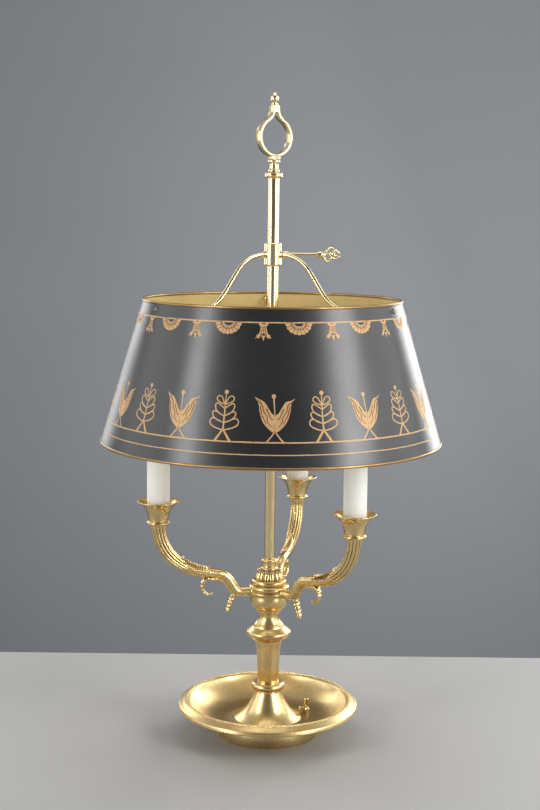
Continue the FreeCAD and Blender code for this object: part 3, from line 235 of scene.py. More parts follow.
def node_spine(node):
    """Foot of a turned node's axis, its widest radius and its height, in metres."""
    low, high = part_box(node)
    foot = Vector(((low.x + high.x) / 2, (low.y + high.y) / 2, low.z))
    return foot, (high.x - low.x) / 2, high.z - low.z


def turned(name, node, outline, around=96, easing=0.3, reshape=None, turn=0.0):
    """Turn a piece that takes the place, radius and height of an upright frame node."""
    foot, radius, height = node_spine(node)
    points = drawn(outline, easing)
    widest = max(point.x for point in points)
    low, high = min(point.y for point in points), max(point.y for point in points)
    wide, tall = radius / (widest * MM), height / ((high - low) * MM)
    points = [Vector((point.x * wide, (point.y - low) * tall)) for point in points]
    place = Matrix.Translation(foot) @ Matrix.Rotation(turn, 4, "Z")
    return lathe(name, points, around, place, reshape)


def swept(name, centres, section, closed_ends=True, smooth_angle=50):
    """Skin rings of points in metres; section(i) gives the ring at centre i."""
    vertices, faces = [], []
    rings = [section(i) for i in range(len(centres))]
    count = len(rings[0])
    for ring in rings:
        vertices += ring
    for i in range(len(rings) - 1):
        for k in range(count):
            a, b = i * count, (i + 1) * count
            faces.append((a + k, a + (k + 1) % count, b + (k + 1) % count, b + k))
    if closed_ends:
        for ring, start in ((rings[0], 0), (rings[-1], (len(rings) - 1) * count)):
            middle = sum(ring, Vector()) / count
            vertices.append(middle)
            for k in range(count):
                faces.append((start + k, start + (k + 1) % count, len(vertices) - 1))
    return mesh_object(name, vertices, faces, None, smooth_angle)


def joined(name, pieces):
    """Join several objects into one."""
    first = pieces[0]
    for piece in bpy.context.selected_objects:
        piece.select_set(False)
    for piece in pieces:
        piece.select_set(True)
    bpy.context.view_layer.objects.active = first
    bpy.ops.object.join()
    first.name = name
    first.data.name = name
    first.select_set(False)
    return first


def cut_with(piece, cutter):
    """Cut one object out of another and delete the cutter."""
    cut = piece.modifiers.new("cut", "BOOLEAN")
    cut.operation = "DIFFERENCE"
    cut.solver = "EXACT"
    cut.object = cutter
    applied(piece)
    bpy.data.objects.remove(cutter)


def applied(piece):
    """Apply every modifier of a piece."""
    bpy.context.view_layer.update()
    graph = bpy.context.evaluated_depsgraph_get()
    mesh = bpy.data.meshes.new_from_object(piece.evaluated_get(graph))
    piece.modifiers.clear()
    piece.data = mesh
    return piece


def fit_out(piece, body, slot, material, *nodes):
    """Give a piece its material and body, and hide the nodes it stands for; the slot argument is not used."""
    piece.data.materials.clear()
    piece.data.materials.append(bpy.data.materials[material])
    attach(piece, body)
    if nodes:
        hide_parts(*nodes)
    return piece


def towards(azimuth):
    """Unit vector to an azimuth in degrees from the front, positive to the right."""
    angle = math.radians(azimuth)
    return Vector((math.sin(angle), -math.cos(angle), 0))


def azimuth_of(point):
    """Azimuth in degrees of a point seen from the lamp's axis."""
    return math.degrees(math.atan2(point.x, -point.y))


def frame_at(azimuth, origin=Vector()):
    """Matrix whose X runs out towards an azimuth, with Z up."""
    return Matrix.Translation(origin) @ Matrix.Rotation(math.radians(azimuth - 90), 4, "Z")


def smooth_step(value):
    """Ease from 0 to 1."""
    value = min(1, max(0, value))
    return value * value * (3 - 2 * value)


# Material helpers

def node_group(name, inputs, outputs):
    """Start a shader node group with named sockets; values are (name, kind, default)."""
    group = bpy.data.node_groups.new(name, "ShaderNodeTree")
    for title, kind, default in inputs:
        socket = group.interface.new_socket(name=title, in_out="INPUT", socket_type=kind)
        socket.default_value = default
    for title, kind in outputs:
        group.interface.new_socket(name=title, in_out="OUTPUT", socket_type=kind)
    start = group.nodes.new("NodeGroupInput")
    end = group.nodes.new("NodeGroupOutput")
    return group, start, end


def add(tree, kind, links=(), **values):
    """Add a node, set its properties and plain inputs, and link sockets into it."""
    made = tree.nodes.new(kind)
    for name, value in values.items():
        setattr(made, name, value)
    for socket, source in dict(links).items():
        target = made.inputs[socket]
        if hasattr(source, "is_output"):
            tree.links.new(source, target)
        else:
            target.default_value = source
    return made


def sum_of(tree, operation, *terms):
    """Math node on the terms."""
    return add(tree, "ShaderNodeMath", dict(enumerate(terms)), operation=operation).outputs[0]


def ranged(tree, source, low, high, to_low=0.0, to_high=1.0):
    """Map a value from one range to another, clamped."""
    links = {"Value": source, "From Min": low, "From Max": high, "To Min": to_low, "To Max": to_high}
    return add(tree, "ShaderNodeMapRange", links).outputs["Result"]


def mixed(tree, factor, first, second):
    """Mix two colours."""
    made = add(tree, "ShaderNodeMix", data_type="RGBA")
    for socket, source in ((made.inputs[0], factor), (made.inputs[6], first), (made.inputs[7], second)):
        if hasattr(source, "is_output"):
            tree.links.new(source, socket)
        else:
            socket.default_value = source
    return made.outputs[2]


def object_noise(tree, scale, detail=4.0):
    """Noise over the object's own coordinates, in features per metre."""
    where = add(tree, "ShaderNodeTexCoord").outputs["Object"]
    return add(tree, "ShaderNodeTexNoise", {
        "Vector": where, "Scale": scale, "Detail": detail}).outputs["Fac"]


def make_wear_and_shade_group():
    """Group: metal that dulls in patches, with painted shade darkening its recesses."""
    group, start, end = node_group("metal_wear_and_shade", (
        ("Metal", "NodeSocketColor", (0.7, 0.5, 0.2, 1)),
        ("Tarnish", "NodeSocketColor", (0.2, 0.13, 0.05, 1)),
        ("Patches", "NodeSocketFloat", 0.3),
        ("Patch Scale", "NodeSocketFloat", 30.0),
        ("Recess Dirt", "NodeSocketFloat", 0.5),
        ("Recess Size", "NodeSocketFloat", 0.003),
        ("Bright Roughness", "NodeSocketFloat", 0.2),
        ("Dull Roughness", "NodeSocketFloat", 0.45),
    ), (("Color", "NodeSocketColor"), ("Roughness", "NodeSocketFloat")))
    where = add(group, "ShaderNodeTexCoord").outputs["Object"]
    broad = add(group, "ShaderNodeTexNoise", {
        "Vector": where, "Scale": start.outputs["Patch Scale"], "Detail": 5.0,
        "Roughness": 0.6}).outputs["Fac"]
    fine_scale = sum_of(group, "MULTIPLY", start.outputs["Patch Scale"], 9.0)
    fine = add(group, "ShaderNodeTexNoise", {
        "Vector": where, "Scale": fine_scale, "Detail": 3.0}).outputs["Fac"]
    patches = sum_of(group, "MULTIPLY", ranged(group, broad, 0.42, 0.68), start.outputs["Patches"])
    faint = sum_of(group, "MULTIPLY", start.outputs["Patches"], 0.5)
    speckle = sum_of(group, "MULTIPLY", ranged(group, fine, 0.5, 0.75), faint)
    # Painted shade: an ambient occlusion reading darkens the recesses towards the dark tint and roughens
    # them.
    openness = add(group, "ShaderNodeAmbientOcclusion", {"Distance": start.outputs["Recess Size"]},
                   samples=6, only_local=True).outputs["AO"]
    recess_shade_mask = sum_of(group, "MULTIPLY", ranged(group, openness, 0.9, 0.35), start.outputs["Recess Dirt"])
    darkening = add(group, "ShaderNodeMath", {0: sum_of(group, "ADD", patches, speckle), 1: recess_shade_mask},
               operation="ADD", use_clamp=True).outputs[0]
    group.links.new(mixed(group, darkening, start.outputs["Metal"], start.outputs["Tarnish"]), end.inputs["Color"])
    rough = add(group, "ShaderNodeMapRange", {
        "Value": darkening, "From Max": 0.8, "To Min": start.outputs["Bright Roughness"],
        "To Max": start.outputs["Dull Roughness"]}).outputs["Result"]
    group.links.new(rough, end.inputs["Roughness"])


def make_turning_marks():
    """Group: fine rings that a lathe or a polishing mop leaves, from the outline's length."""
    group, start, end = node_group("turning_marks", (
        ("Rings", "NodeSocketFloat", 2500.0),
        ("Unevenness", "NodeSocketFloat", 0.3),
    ), (("Height", "NodeSocketFloat"),))
    along = add(group, "ShaderNodeUVMap", uv_map="along").outputs["UV"]
    parts = add(group, "ShaderNodeSeparateXYZ", {"Vector": along})
    waver = sum_of(group, "MULTIPLY", parts.outputs["X"], start.outputs["Unevenness"])
    ring = sum_of(group, "MULTIPLY", parts.outputs["Y"], start.outputs["Rings"])
    vector = add(group, "ShaderNodeCombineXYZ", {"X": waver, "Y": ring})
    marks = add(group, "ShaderNodeTexNoise", {"Vector": vector.outputs[0], "Scale": 1.0, "Detail": 3.0})
    group.links.new(marks.outputs["Fac"], end.inputs["Height"])


def make_cast_grain():
    """Group: the faint orange-peel and pits of a casting."""
    group, start, end = node_group("cast_grain", (
        ("Grain Scale", "NodeSocketFloat", 900.0),
        ("Pit Scale", "NodeSocketFloat", 260.0),
        ("Pits", "NodeSocketFloat", 0.6),
    ), (("Height", "NodeSocketFloat"),))
    where = add(group, "ShaderNodeTexCoord").outputs["Object"]
    grain = add(group, "ShaderNodeTexNoise", {
        "Vector": where, "Scale": start.outputs["Grain Scale"], "Detail": 3.0}).outputs["Fac"]
    cells = add(group, "ShaderNodeTexVoronoi", {
        "Vector": where, "Scale": start.outputs["Pit Scale"]}).outputs["Distance"]
    pit = sum_of(group, "MULTIPLY", ranged(group, cells, 0.16, 0.0), start.outputs["Pits"])
    group.links.new(sum_of(group, "SUBTRACT", grain, pit), end.inputs["Height"])


def make_fine_scratches():
    """Group: a mask of short hairline scratches and specks."""
    group, start, end = node_group("fine_scratches", (
        ("Scale", "NodeSocketFloat", 40.0),
        ("Amount", "NodeSocketFloat", 0.5),
    ), (("Mask", "NodeSocketFloat"),))
    where = add(group, "ShaderNodeTexCoord").outputs["Object"]
    total = None
    for turn, stretch in (((0.3, 0.2, 0.4), (1, 60, 1)), ((1.1, 0.7, -0.5), (60, 1, 1))):
        mapped = add(group, "ShaderNodeMapping", {"Vector": where, "Rotation": turn, "Scale": stretch})
        line = add(group, "ShaderNodeTexNoise", {
            "Vector": mapped.outputs[0], "Scale": start.outputs["Scale"], "Detail": 2.0}).outputs["Fac"]
        mask = ranged(group, line, 0.70, 0.76)
        total = mask if total is None else sum_of(group, "MAXIMUM", total, mask)
    group.links.new(sum_of(group, "MULTIPLY", total, start.outputs["Amount"]), end.inputs["Mask"])


def make_even_grain():
    """Group: a colour and roughness that vary with fine noise, and its shallow bump."""
    group, start, end = node_group("even_grain", (
        ("Darker", "NodeSocketColor", (0.4, 0.4, 0.4, 1)),
        ("Lighter", "NodeSocketColor", (0.5, 0.5, 0.5, 1)),
        ("Grain Scale", "NodeSocketFloat", 200.0),
        ("Least Roughness", "NodeSocketFloat", 0.4),
        ("Most Roughness", "NodeSocketFloat", 0.5),
        ("Depth", "NodeSocketFloat", 0.0001),
    ), (("Color", "NodeSocketColor"), ("Roughness", "NodeSocketFloat"), ("Normal", "NodeSocketVector")))
    where = add(group, "ShaderNodeTexCoord").outputs["Object"]
    fine = add(group, "ShaderNodeTexNoise", {
        "Vector": where, "Scale": start.outputs["Grain Scale"], "Detail": 4.0}).outputs["Fac"]
    tone = mixed(group, fine, start.outputs["Darker"], start.outputs["Lighter"])
    group.links.new(tone, end.inputs["Color"])
    rough = ranged(group, fine, 0.3, 0.7, start.outputs["Least Roughness"], start.outputs["Most Roughness"])
    group.links.new(rough, end.inputs["Roughness"])
    relief = add(group, "ShaderNodeBump", {
        "Height": fine, "Strength": 0.4, "Distance": start.outputs["Depth"]})
    group.links.new(relief.outputs["Normal"], end.inputs["Normal"])


def new_material(name):
    """Material with an empty tree but for its shader and output."""
    material = bpy.data.materials.new(name)
    material.use_nodes = True
    tree = material.node_tree
    shader = tree.nodes["Principled BSDF"]
    return material, tree, shader


def use_group(tree, name, **values):
    """Place a node group in a material with its own values; underscores stand for spaces."""
    made = tree.nodes.new("ShaderNodeGroup")
    made.node_tree = bpy.data.node_groups[name]
    for title, value in values.items():
        made.inputs[title.replace("_", " ")].default_value = value
    return made


def rgba(colour, gain=1.0):
    """Colour with alpha, brighter or darker by gain."""
    return (*(min(1, part * gain) for part in colour), 1)


def metal_material(name, tint, tarnish_shade_colour, marks, strength, depth, **wear_and_recess_shade):
    """Brass of one finish: patches of dulling with painted shade in its recesses for colour, and a group of
    marks for its bump.
    """
    _, tree, shader = new_material(name)
    toned = use_group(tree, "metal_wear_and_shade", Metal=rgba(tint), Tarnish=rgba(tarnish_shade_colour), **wear_and_recess_shade)
    tree.links.new(toned.outputs["Color"], shader.inputs["Base Color"])
    tree.links.new(toned.outputs["Roughness"], shader.inputs["Roughness"])
    shader.inputs["Metallic"].default_value = 1.0
    if marks:
        group = use_group(tree, marks)
        bump = add(tree, "ShaderNodeBump", {
            "Height": group.outputs["Height"], "Strength": strength, "Distance": depth})
        tree.links.new(bump.outputs["Normal"], shader.inputs["Normal"])
    return tree, shader


def plain_material(name, colour, roughness, grain_scale, spread=0.12, metallic=0.0, bump=0.0002,
                   **sockets):
    """Plastic, iron, felt and the like: a colour that varies with noise, and a fine bump."""
    _, tree, shader = new_material(name)
    grain = use_group(tree, "even_grain", Darker=rgba(colour, 1 - spread), Lighter=rgba(colour, 1 + spread),
                      Grain_Scale=grain_scale, Least_Roughness=roughness * 0.85,
                      Most_Roughness=min(1, roughness * 1.15), Depth=bump)
    tree.links.new(grain.outputs["Color"], shader.inputs["Base Color"])
    tree.links.new(grain.outputs["Roughness"], shader.inputs["Roughness"])
    if bump:
        tree.links.new(grain.outputs["Normal"], shader.inputs["Normal"])
    shader.inputs["Metallic"].default_value = metallic
    for title, value in sockets.items():
        shader.inputs[title.replace("_", " ")].default_value = value
    return tree, shader


class LAMP_OT_finishes(bpy.types.Operator):
    """Make every material that the lamp's pieces use"""
    bl_idname = "lamp.finishes"
    bl_label = "Finishes"

    def execute(self, context):
        brass, shade = context.scene.lamp_brass, context.scene.lamp_shade
        make_wear_and_shade_group()
        make_turning_marks()
        make_cast_grain()
        make_fine_scratches()
        make_even_grain()
        polish = brass.polish
        metal_material("spun_brass", brass.cast_tint, brass.tarnish_and_shade_tint, "turning_marks", 0.35, 0.00004,
                       Patches=0.35, Patch_Scale=26.0, Recess_Dirt=0.55, Recess_Size=0.004,
                       Bright_Roughness=polish + 0.07, Dull_Roughness=0.46)
        metal_material("cast_brass", brass.cast_tint, brass.tarnish_and_shade_tint, "cast_grain", 0.3, 0.00012,
                       Patches=0.3, Patch_Scale=45.0, Recess_Dirt=0.95, Recess_Size=0.0025,
                       Bright_Roughness=polish + 0.03, Dull_Roughness=0.5)
        metal_material("drawn_brass", brass.drawn_tint, brass.tarnish_and_shade_tint, "turning_marks", 0.15, 0.00002,
                       Patches=0.12, Patch_Scale=40.0, Recess_Dirt=0.5, Recess_Size=0.002,
                       Bright_Roughness=polish - 0.05, Dull_Roughness=0.36)
        metal_material("filed_brass", brass.drawn_tint, brass.tarnish_and_shade_tint, "cast_grain", 0.18, 0.00006,
                       Patches=0.16, Patch_Scale=50.0, Recess_Dirt=0.8, Recess_Size=0.0025,
                       Bright_Roughness=polish - 0.02, Dull_Roughness=0.42)
        metal_material("gilt_wire", brass.gilt_tint, brass.tarnish_and_shade_tint, "cast_grain", 0.3, 0.00008,
                       Patches=0.5, Patch_Scale=60.0, Recess_Dirt=0.7, Recess_Size=0.003,
                       Bright_Roughness=polish + 0.1, Dull_Roughness=0.55)
        dish_material(brass)
        paint_material(shade)
        plain_material("lining_paint", shade.lining, 0.42, 60.0, 0.08)
        plain_material("ornament_gilt", shade.ornament, 0.5, 300.0, 0.3, 0.2, 0.00005)
        plain_material("ornament_line", (0.12, 0.032, 0.014), 0.6, 300.0, 0.3, 0.0, 0.00005)
        plain_material("ivory_cover", (0.90, 0.885, 0.83), 0.42, 120.0, 0.03, 0.0, 0.00005,
                       Subsurface_Weight=0.15, Subsurface_Scale=0.004)
        plain_material("black_phenolic", (0.02, 0.017, 0.015), 0.35, 400.0)
        plain_material("green_felt", (0.02, 0.075, 0.03), 0.95, 1800.0, 0.5, 0.0, 0.0006, Sheen_Weight=0.6)
        plain_material("cast_iron", (0.05, 0.05, 0.05), 0.75, 500.0, 0.3, 0.6, 0.0006)
        plain_material("zinc_steel", (0.55, 0.55, 0.56), 0.4, 300.0, 0.15, 1.0, 0.0001)
        plain_material("dull_screw_steel", (0.14, 0.125, 0.11), 0.4, 400.0, 0.25, 1.0, 0.0001)
        plain_material("nylon_liner", (0.6, 0.59, 0.55), 0.5, 200.0, 0.05)
        plain_material("thin_aluminium", (0.75, 0.74, 0.70), 0.32, 200.0, 0.1, 1.0, 0.0001)
        plain_material("filament_wire", (0.35, 0.33, 0.3), 0.4, 200.0, 0.1, 1.0, 0.0001)
        glass_material()
        return {"FINISHED"}


def dish_material(brass):
    """Spun brass of the dish, with a dulled ring rubbed into its floor and fine turning marks."""
    tree, shader = metal_material("dish_brass", brass.cast_tint, brass.tarnish_and_shade_tint,
                                  "turning_marks", 0.4, 0.00004,
                                  Patches=0.4, Patch_Scale=22.0, Recess_Dirt=0.45, Recess_Size=0.005,
                                  Bright_Roughness=brass.polish + 0.09, Dull_Roughness=0.5)
    where = add(tree, "ShaderNodeTexCoord").outputs["Object"]
    parts = add(tree, "ShaderNodeSeparateXYZ", {"Vector": where})
    flat = add(tree, "ShaderNodeCombineXYZ", {"X": parts.outputs["X"], "Y": parts.outputs["Y"]})
    reach = add(tree, "ShaderNodeVectorMath", {0: flat.outputs[0]}, operation="LENGTH").outputs["Value"]
    waver = ranged(tree, object_noise(tree, 14.0), 0.3, 0.7, -0.012, 0.012)
    uneven = sum_of(tree, "ADD", reach, waver)
    outer = ranged(tree, uneven, 0.096, 0.062)
    inner = ranged(tree, uneven, 0.040, 0.050)
    low = ranged(tree, parts.outputs["Z"], 0.034, 0.026)
    ring = sum_of(tree, "MULTIPLY", outer, inner)
    darkening = sum_of(tree, "MULTIPLY", ring, sum_of(tree, "MULTIPLY", low, 0.85))
    source = shader.inputs["Base Color"].links[0].from_socket
    tree.links.new(mixed(tree, darkening, source, rgba(brass.tarnish_and_shade_tint, 1.5)), shader.inputs["Base Color"])


def paint_material(shade):
    """Satin black paint with specks, hairlines and faint unevenness."""
    _, tree, shader = new_material("black_paint")
    scratches = use_group(tree, "fine_scratches", Scale=26.0, Amount=0.35)
    cloud = object_noise(tree, 9.0, 5.0)
    tone = mixed(tree, cloud, rgba(shade.paint, 0.8), rgba(shade.paint, 1.35))
    toned = mixed(tree, scratches.outputs["Mask"], tone, (0.10, 0.095, 0.09, 1))
    tree.links.new(toned, shader.inputs["Base Color"])
    fine = object_noise(tree, 700.0, 3.0)
    rough = ranged(tree, cloud, 0.3, 0.7, 0.27, 0.36)
    tree.links.new(rough, shader.inputs["Roughness"])
    relief = add(tree, "ShaderNodeBump", {"Height": fine, "Strength": 0.25, "Distance": 0.00008})
    tree.links.new(relief.outputs["Normal"], shader.inputs["Normal"])
    shader.inputs["Specular IOR Level"].default_value = 0.75


def glass_material():
    """Clear bulb glass with faint waviness."""
    _, tree, shader = new_material("bulb_glass")
    ripple = object_noise(tree, 90.0, 2.0)
    relief = add(tree, "ShaderNodeBump", {"Height": ripple, "Strength": 0.15, "Distance": 0.0002})
    tree.links.new(relief.outputs["Normal"], shader.inputs["Normal"])
    tree.links.new(ranged(tree, ripple, 0.3, 0.7, 0.02, 0.05), shader.inputs["Roughness"])
    shader.inputs["Base Color"].default_value = (0.97, 0.96, 0.93, 1)
    shader.inputs["Transmission Weight"].default_value = 1.0
    shader.inputs["IOR"].default_value = 1.3


# Base

PIPE_HOLE = 5.05


class LAMP_OT_base(bpy.types.Operator):
    """Turn the foot ring and the dish, and bead the ring inside its lip"""
    bl_idname = "lamp.base"
    bl_label = "Base"

    def execute(self, context):
        foot = turned("foot_band", "foot_ring", [
            (61.5, 0), (64.5, 0), (64.5, 16.5), (57, 16.5), (57, 13.5), (61.5, 13.5),
        ], around=192, easing=0.9)
        low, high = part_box("cord_bush")
        centre = (low + high) / 2
        drill = lathe("drill", drawn([(0, -12), (4.4, -12), (4.4, 12), (0, 12)], 0), 48,
                      Matrix.Translation(centre) @ Matrix.Rotation(math.pi / 2, 4, "X"))
        cut_with(foot, drill)
        fit_out(foot, "stand", "aged_brass", "spun_brass", "foot_ring")

        dish = turned("dish", "base_tray", [
            (PIPE_HOLE, 0), (60, 0, 0.22), (98.2, 22.2), (103.2, 23.6), (108.6, 20.2), (109.9, 16.6),
            (111.0, 16.0, 0.5), (112.0, 18.2, 0.35), (109.6, 22.0, -0.1), (103.7, 25.3), (99.3, 25.3),
            (97.6, 24.2), (96.6, 22.3, -0.22), (59.5, 1.5), (PIPE_HOLE, 1.5),
        ], around=256, easing=0.5)
        bushing, _, _ = node_spine("switch_bushing")
        drill = lathe("drill", drawn([(0, -4), (6, -4), (6, 4), (0, 4)], 0), 48, Matrix.Translation(bushing))
        cut_with(dish, drill)
        fit_out(dish, "stand", "aged_brass", "dish_brass", "base_tray")

        count = 210
        ring, _, _ = node_spine("bead_ring")
        low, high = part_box("bead_ring")
        radius, rise = 0.5 * (high.x - low.x) / MM - 1.9, (high.z - low.z) / MM

        def pearl(angle, across, up):
            swell = abs(math.sin(angle * count / 2)) ** 0.7
            size = 0.45 + 0.55 * swell
            return radius + (across - radius) * size, up * size

        outline = [Vector((radius + 1.9 * math.cos(a), rise * math.sin(a)))
                   for a in (math.pi * k / 8 for k in range(9))]
        beads = lathe("bead_moulding", outline, count * 6, Matrix.Translation(ring), pearl)
        fit_out(beads, "stand", "aged_brass", "cast_brass", "bead_ring")
        return {"FINISHED"}


class LAMP_OT_column(bpy.types.Operator):
    """Turn the five pieces of the column"""
    bl_idname = "lamp.column"
    bl_label = "Column"

    def execute(self, context):
        outlines = {
            "column_foot": [(PIPE_HOLE, 0), (42, 0), (42, 0.7, -0.16), (23.4, 18.2, -0.05), (15.4, 34),
                            (15.4, 36), (PIPE_HOLE, 36)],
            "column_ring": [(PIPE_HOLE, 0), (16.2, 0), (16.2, 0.7, HALF), (16.2, 10.3), (16.2, 11),
                            (PIPE_HOLE, 11)],
            "column_barrel": [(PIPE_HOLE, 0), (13.3, 0, -0.01), (14.4, 34, -0.09), (17.4, 53.5),
                              (PIPE_HOLE, 53.5)],
            "column_collar": [(PIPE_HOLE, 0), (18, 0), (18.4, 0.9, 0.12), (27, 7.6, 0.35), (27.2, 12, -0.1),
                              (19.9, 17.4), (19.3, 19.5), (PIPE_HOLE, 19.5)],
            "column_neck": [(PIPE_HOLE, 0), (17.8, 0), (17.8, 0.5, -0.2), (12.7, 12.5, -0.1), (14.2, 16.4),
                            (14.2, 17), (PIPE_HOLE, 17)],
        }
        for node, outline in outlines.items():
            piece = turned(node + "_turning", node, outline, around=128, easing=0.35)
            fit_out(piece, "stand", "aged_brass", "spun_brass", node)
        return {"FINISHED"}


class LAMP_OT_hub(bpy.types.Operator):
    """Turn the hub with its moulded rings, the leafy crown and the rod socket"""
    bl_idname = "lamp.hub"
    bl_label = "Hub"

    def execute(self, context):
        hub = turned("hub_turning", "hub_body", [
            (PIPE_HOLE, 0), (15.2, 0), (16.8, 1.2), (16.8, 2.6), (17.6, 3.4, 0.32), (23.2, 21), (23.4, 22.4),
            (24, 22.8, 0.5), (24, 26.6), (23.1, 27.3), (23.9, 28, 0.4), (23.9, 33.3), (22.8, 34),
            (17.5, 34), (17.5, 10), (PIPE_HOLE, 10),
        ], around=128, easing=0.3)
        fit_out(hub, "stand", "aged_brass", "spun_brass", "hub_body")
        ring = turned("hub_ring_turning", "hub_ring", [
            (PIPE_HOLE, 0), (20, 0, 0.45), (20, 6.6), (18, 7), (PIPE_HOLE, 7),
        ], around=128, easing=0.3)
        fit_out(ring, "stand", "aged_brass", "spun_brass", "hub_ring")

        leaves = 14

        def leafy(angle, radius, up):
            if radius < 13 or up < 0.6:
                return radius, up
            lobe = abs(math.cos(angle * leaves / 2))
            rise = smooth_step((up - 3) / 8)
            foot = smooth_step((6 - up) / 4)
            gap = (1 - lobe ** (0.5 + 0.35 * foot)) * (1.7 + 0.9 * foot)
            return radius - gap, up - rise * 2.8 * (1 - lobe ** 0.6)

        crown = turned("crown_casting", "hub_cap", [
            (PIPE_HOLE, 0), (16.4, 0), (17.4, 0.7, 0.4), (17.3, 3.4, 0.1), (16.3, 5.6, -0.05),
            (15.2, 8.6, -0.1), (16.1, 11.6), (15.5, 12), (13.9, 10.8), (12.6, 10.2), (PIPE_HOLE, 10.2),
        ], around=leaves * 16, easing=0.35, reshape=leafy)
        fit_out(crown, "stand", "aged_brass", "cast_brass", "hub_cap")
        socket = turned("rod_socket_turning", "rod_socket", [
            (PIPE_HOLE, 0), (9.8, 0, 0.5), (9.8, 2.6), (8.8, 3.2), (8.8, 9), (9.2, 9.6, 0.5), (9.2, 12.6),
            (8.2, 13.4), (6.55, 13.4), (6.55, 5.5), (0, 5.5), (0, 4.5), (PIPE_HOLE, 4.5),
        ], around=96, easing=0.25)
        fit_out(socket, "stand", "aged_brass", "spun_brass", "rod_socket")
        return {"FINISHED"}


class LAMP_OT_rod(bpy.types.Operator):
    """Draw the rod, and turn its cap, the finial's stem and button; bend the flat loop"""
    bl_idname = "lamp.rod"
    bl_label = "Rod and finial"

    def execute(self, context):
        rod = turned("rod_tube", "lamp_rod", [(5, 0), (6.5, 0), (6.5, 477.5), (5, 477.5)], 96, 0.3)
        fit_out(rod, "stand", "bright_brass", "drawn_brass", "lamp_rod")
        cap = turned("rod_cap_turning", "rod_cap", [
            (6.55, 0), (9.6, 0), (10.2, 0.8, 0.2), (10.2, 5.4), (9.2, 6.3), (3.1, 6.3), (3.1, 4), (6.55, 4),
        ], around=96, easing=0.3)
        fit_out(cap, "stand", "bright_brass", "drawn_brass", "rod_cap")
        stem = turned("finial_stem_turning", "finial_stem", [
            (0, -12), (3, -12), (3, 0), (5.6, 0, 0.6), (5.6, 4.2), (5.3, 4.8, -0.06), (5.3, 10.4),
            (6.1, 11, 0.6), (6.1, 15.2), (5.3, 15.6), (0, 15.6),
        ], around=96, easing=0.25)
        fit_out(stem, "stand", "bright_brass", "drawn_brass", "finial_stem")
        button = turned("finial_button_turning", "finial_button", [
            (0, 0), (3.3, 0, 0.45), (3.3, 3), (2.6, 3.9), (4.2, 5.4, 0.3), (3.4, 12.1), (1.8, 13.3),
            (1.7, 14.4, 0.25), (0.6, 15.5), (0, 15.5),
        ], around=72, easing=0.2)
        fit_out(button, "stand", "bright_brass", "drawn_brass", "finial_button")
        self.bend_loop()
        return {"FINISHED"}

    def bend_loop(self):
        """The flat band of the handle, rounded at its long edges."""
        low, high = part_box("loop_handle")
        radius, band, centre_up, block = 23.5, 3.0, 26.0, 4.4
        height = (high.z - low.z) / MM
        foot, shoulder, mouth = math.radians(75), math.radians(60), math.radians(14.4)
        sweep = (radius * math.cos(shoulder) - block) / (1 - math.cos(shoulder))
        out = [(radius * math.cos(foot), 0),
               (radius * math.cos(foot), centre_up - radius * math.sin(foot),
                math.tan((foot + shoulder) / 4)),
               (radius * math.cos(shoulder), centre_up + radius * math.sin(shoulder),
                -math.tan(shoulder / 4)),
               (block, centre_up + (radius + sweep) * math.sin(shoulder)),
               (block, height)]
        mirrored = [(-out[4][0], out[4][1]), (-out[3][0], out[3][1], out[2][2]),
                    (-out[2][0], out[2][1], out[1][2]), (-out[1][0], out[1][1]), (-out[0][0], 0)]
        inner, inner_sweep = radius - band, sweep + band
        turn_x, turn_z = inner * math.cos(shoulder), centre_up + inner * math.sin(shoulder)
        mouth_x = turn_x - inner_sweep * (math.cos(mouth) - math.cos(shoulder))
        mouth_z = turn_z + inner_sweep * (math.sin(shoulder) - math.sin(mouth))
        closing = -math.tan((shoulder - mouth) / 4)
        hole = [(-turn_x, turn_z, math.tan((math.pi + 2 * shoulder) / 4)), (turn_x, turn_z, closing),
                (mouth_x, mouth_z), (-mouth_x, mouth_z, closing)]
        plate = cut_plate("loop_band", [drawn(out + mirrored, 0.4), drawn(hole, 0.4)], 10.0, 0.5)
        spine = Vector(((low.x + high.x) / 2, (low.y + high.y) / 2, low.z))
        plate.data.transform(frame_at(125.0, spine))
        fit_out(plate, "stand", "bright_brass", "filed_brass", "loop_handle")


def cut_plate(name, outlines, thickness, bevel):
    """Plate in the XZ plane, centred on Y, from outlines in millimetres, with rounded edges."""
    curve = bpy.data.curves.new(name, "CURVE")
    curve.dimensions = "2D"
    curve.fill_mode = "BOTH"
    for points in outlines:
        spline = curve.splines.new("POLY")
        spline.points.add(len(points) - 1)
        for knot, point in zip(spline.points, points):
            knot.co = (point.x * MM, point.y * MM, 0, 1)
        spline.use_cyclic_u = True
    curve.extrude = (thickness / 2 - bevel) * MM
    curve.bevel_depth = bevel * MM
    curve.bevel_resolution = 2
    curve.offset = -bevel * MM
    holder = bpy.data.objects.new(name, curve)
    bpy.context.scene.collection.objects.link(holder)
    bpy.context.view_layer.update()
    graph = bpy.context.evaluated_depsgraph_get()
    mesh = bpy.data.meshes.new_from_object(holder.evaluated_get(graph))
    bpy.data.objects.remove(holder)
    vertices = [Vector((v.co.x, -v.co.z, v.co.y)) for v in mesh.vertices]
    faces = [tuple(p.vertices) for p in mesh.polygons]
    return mesh_object(name, vertices, faces, None, 35)


# Candle arms

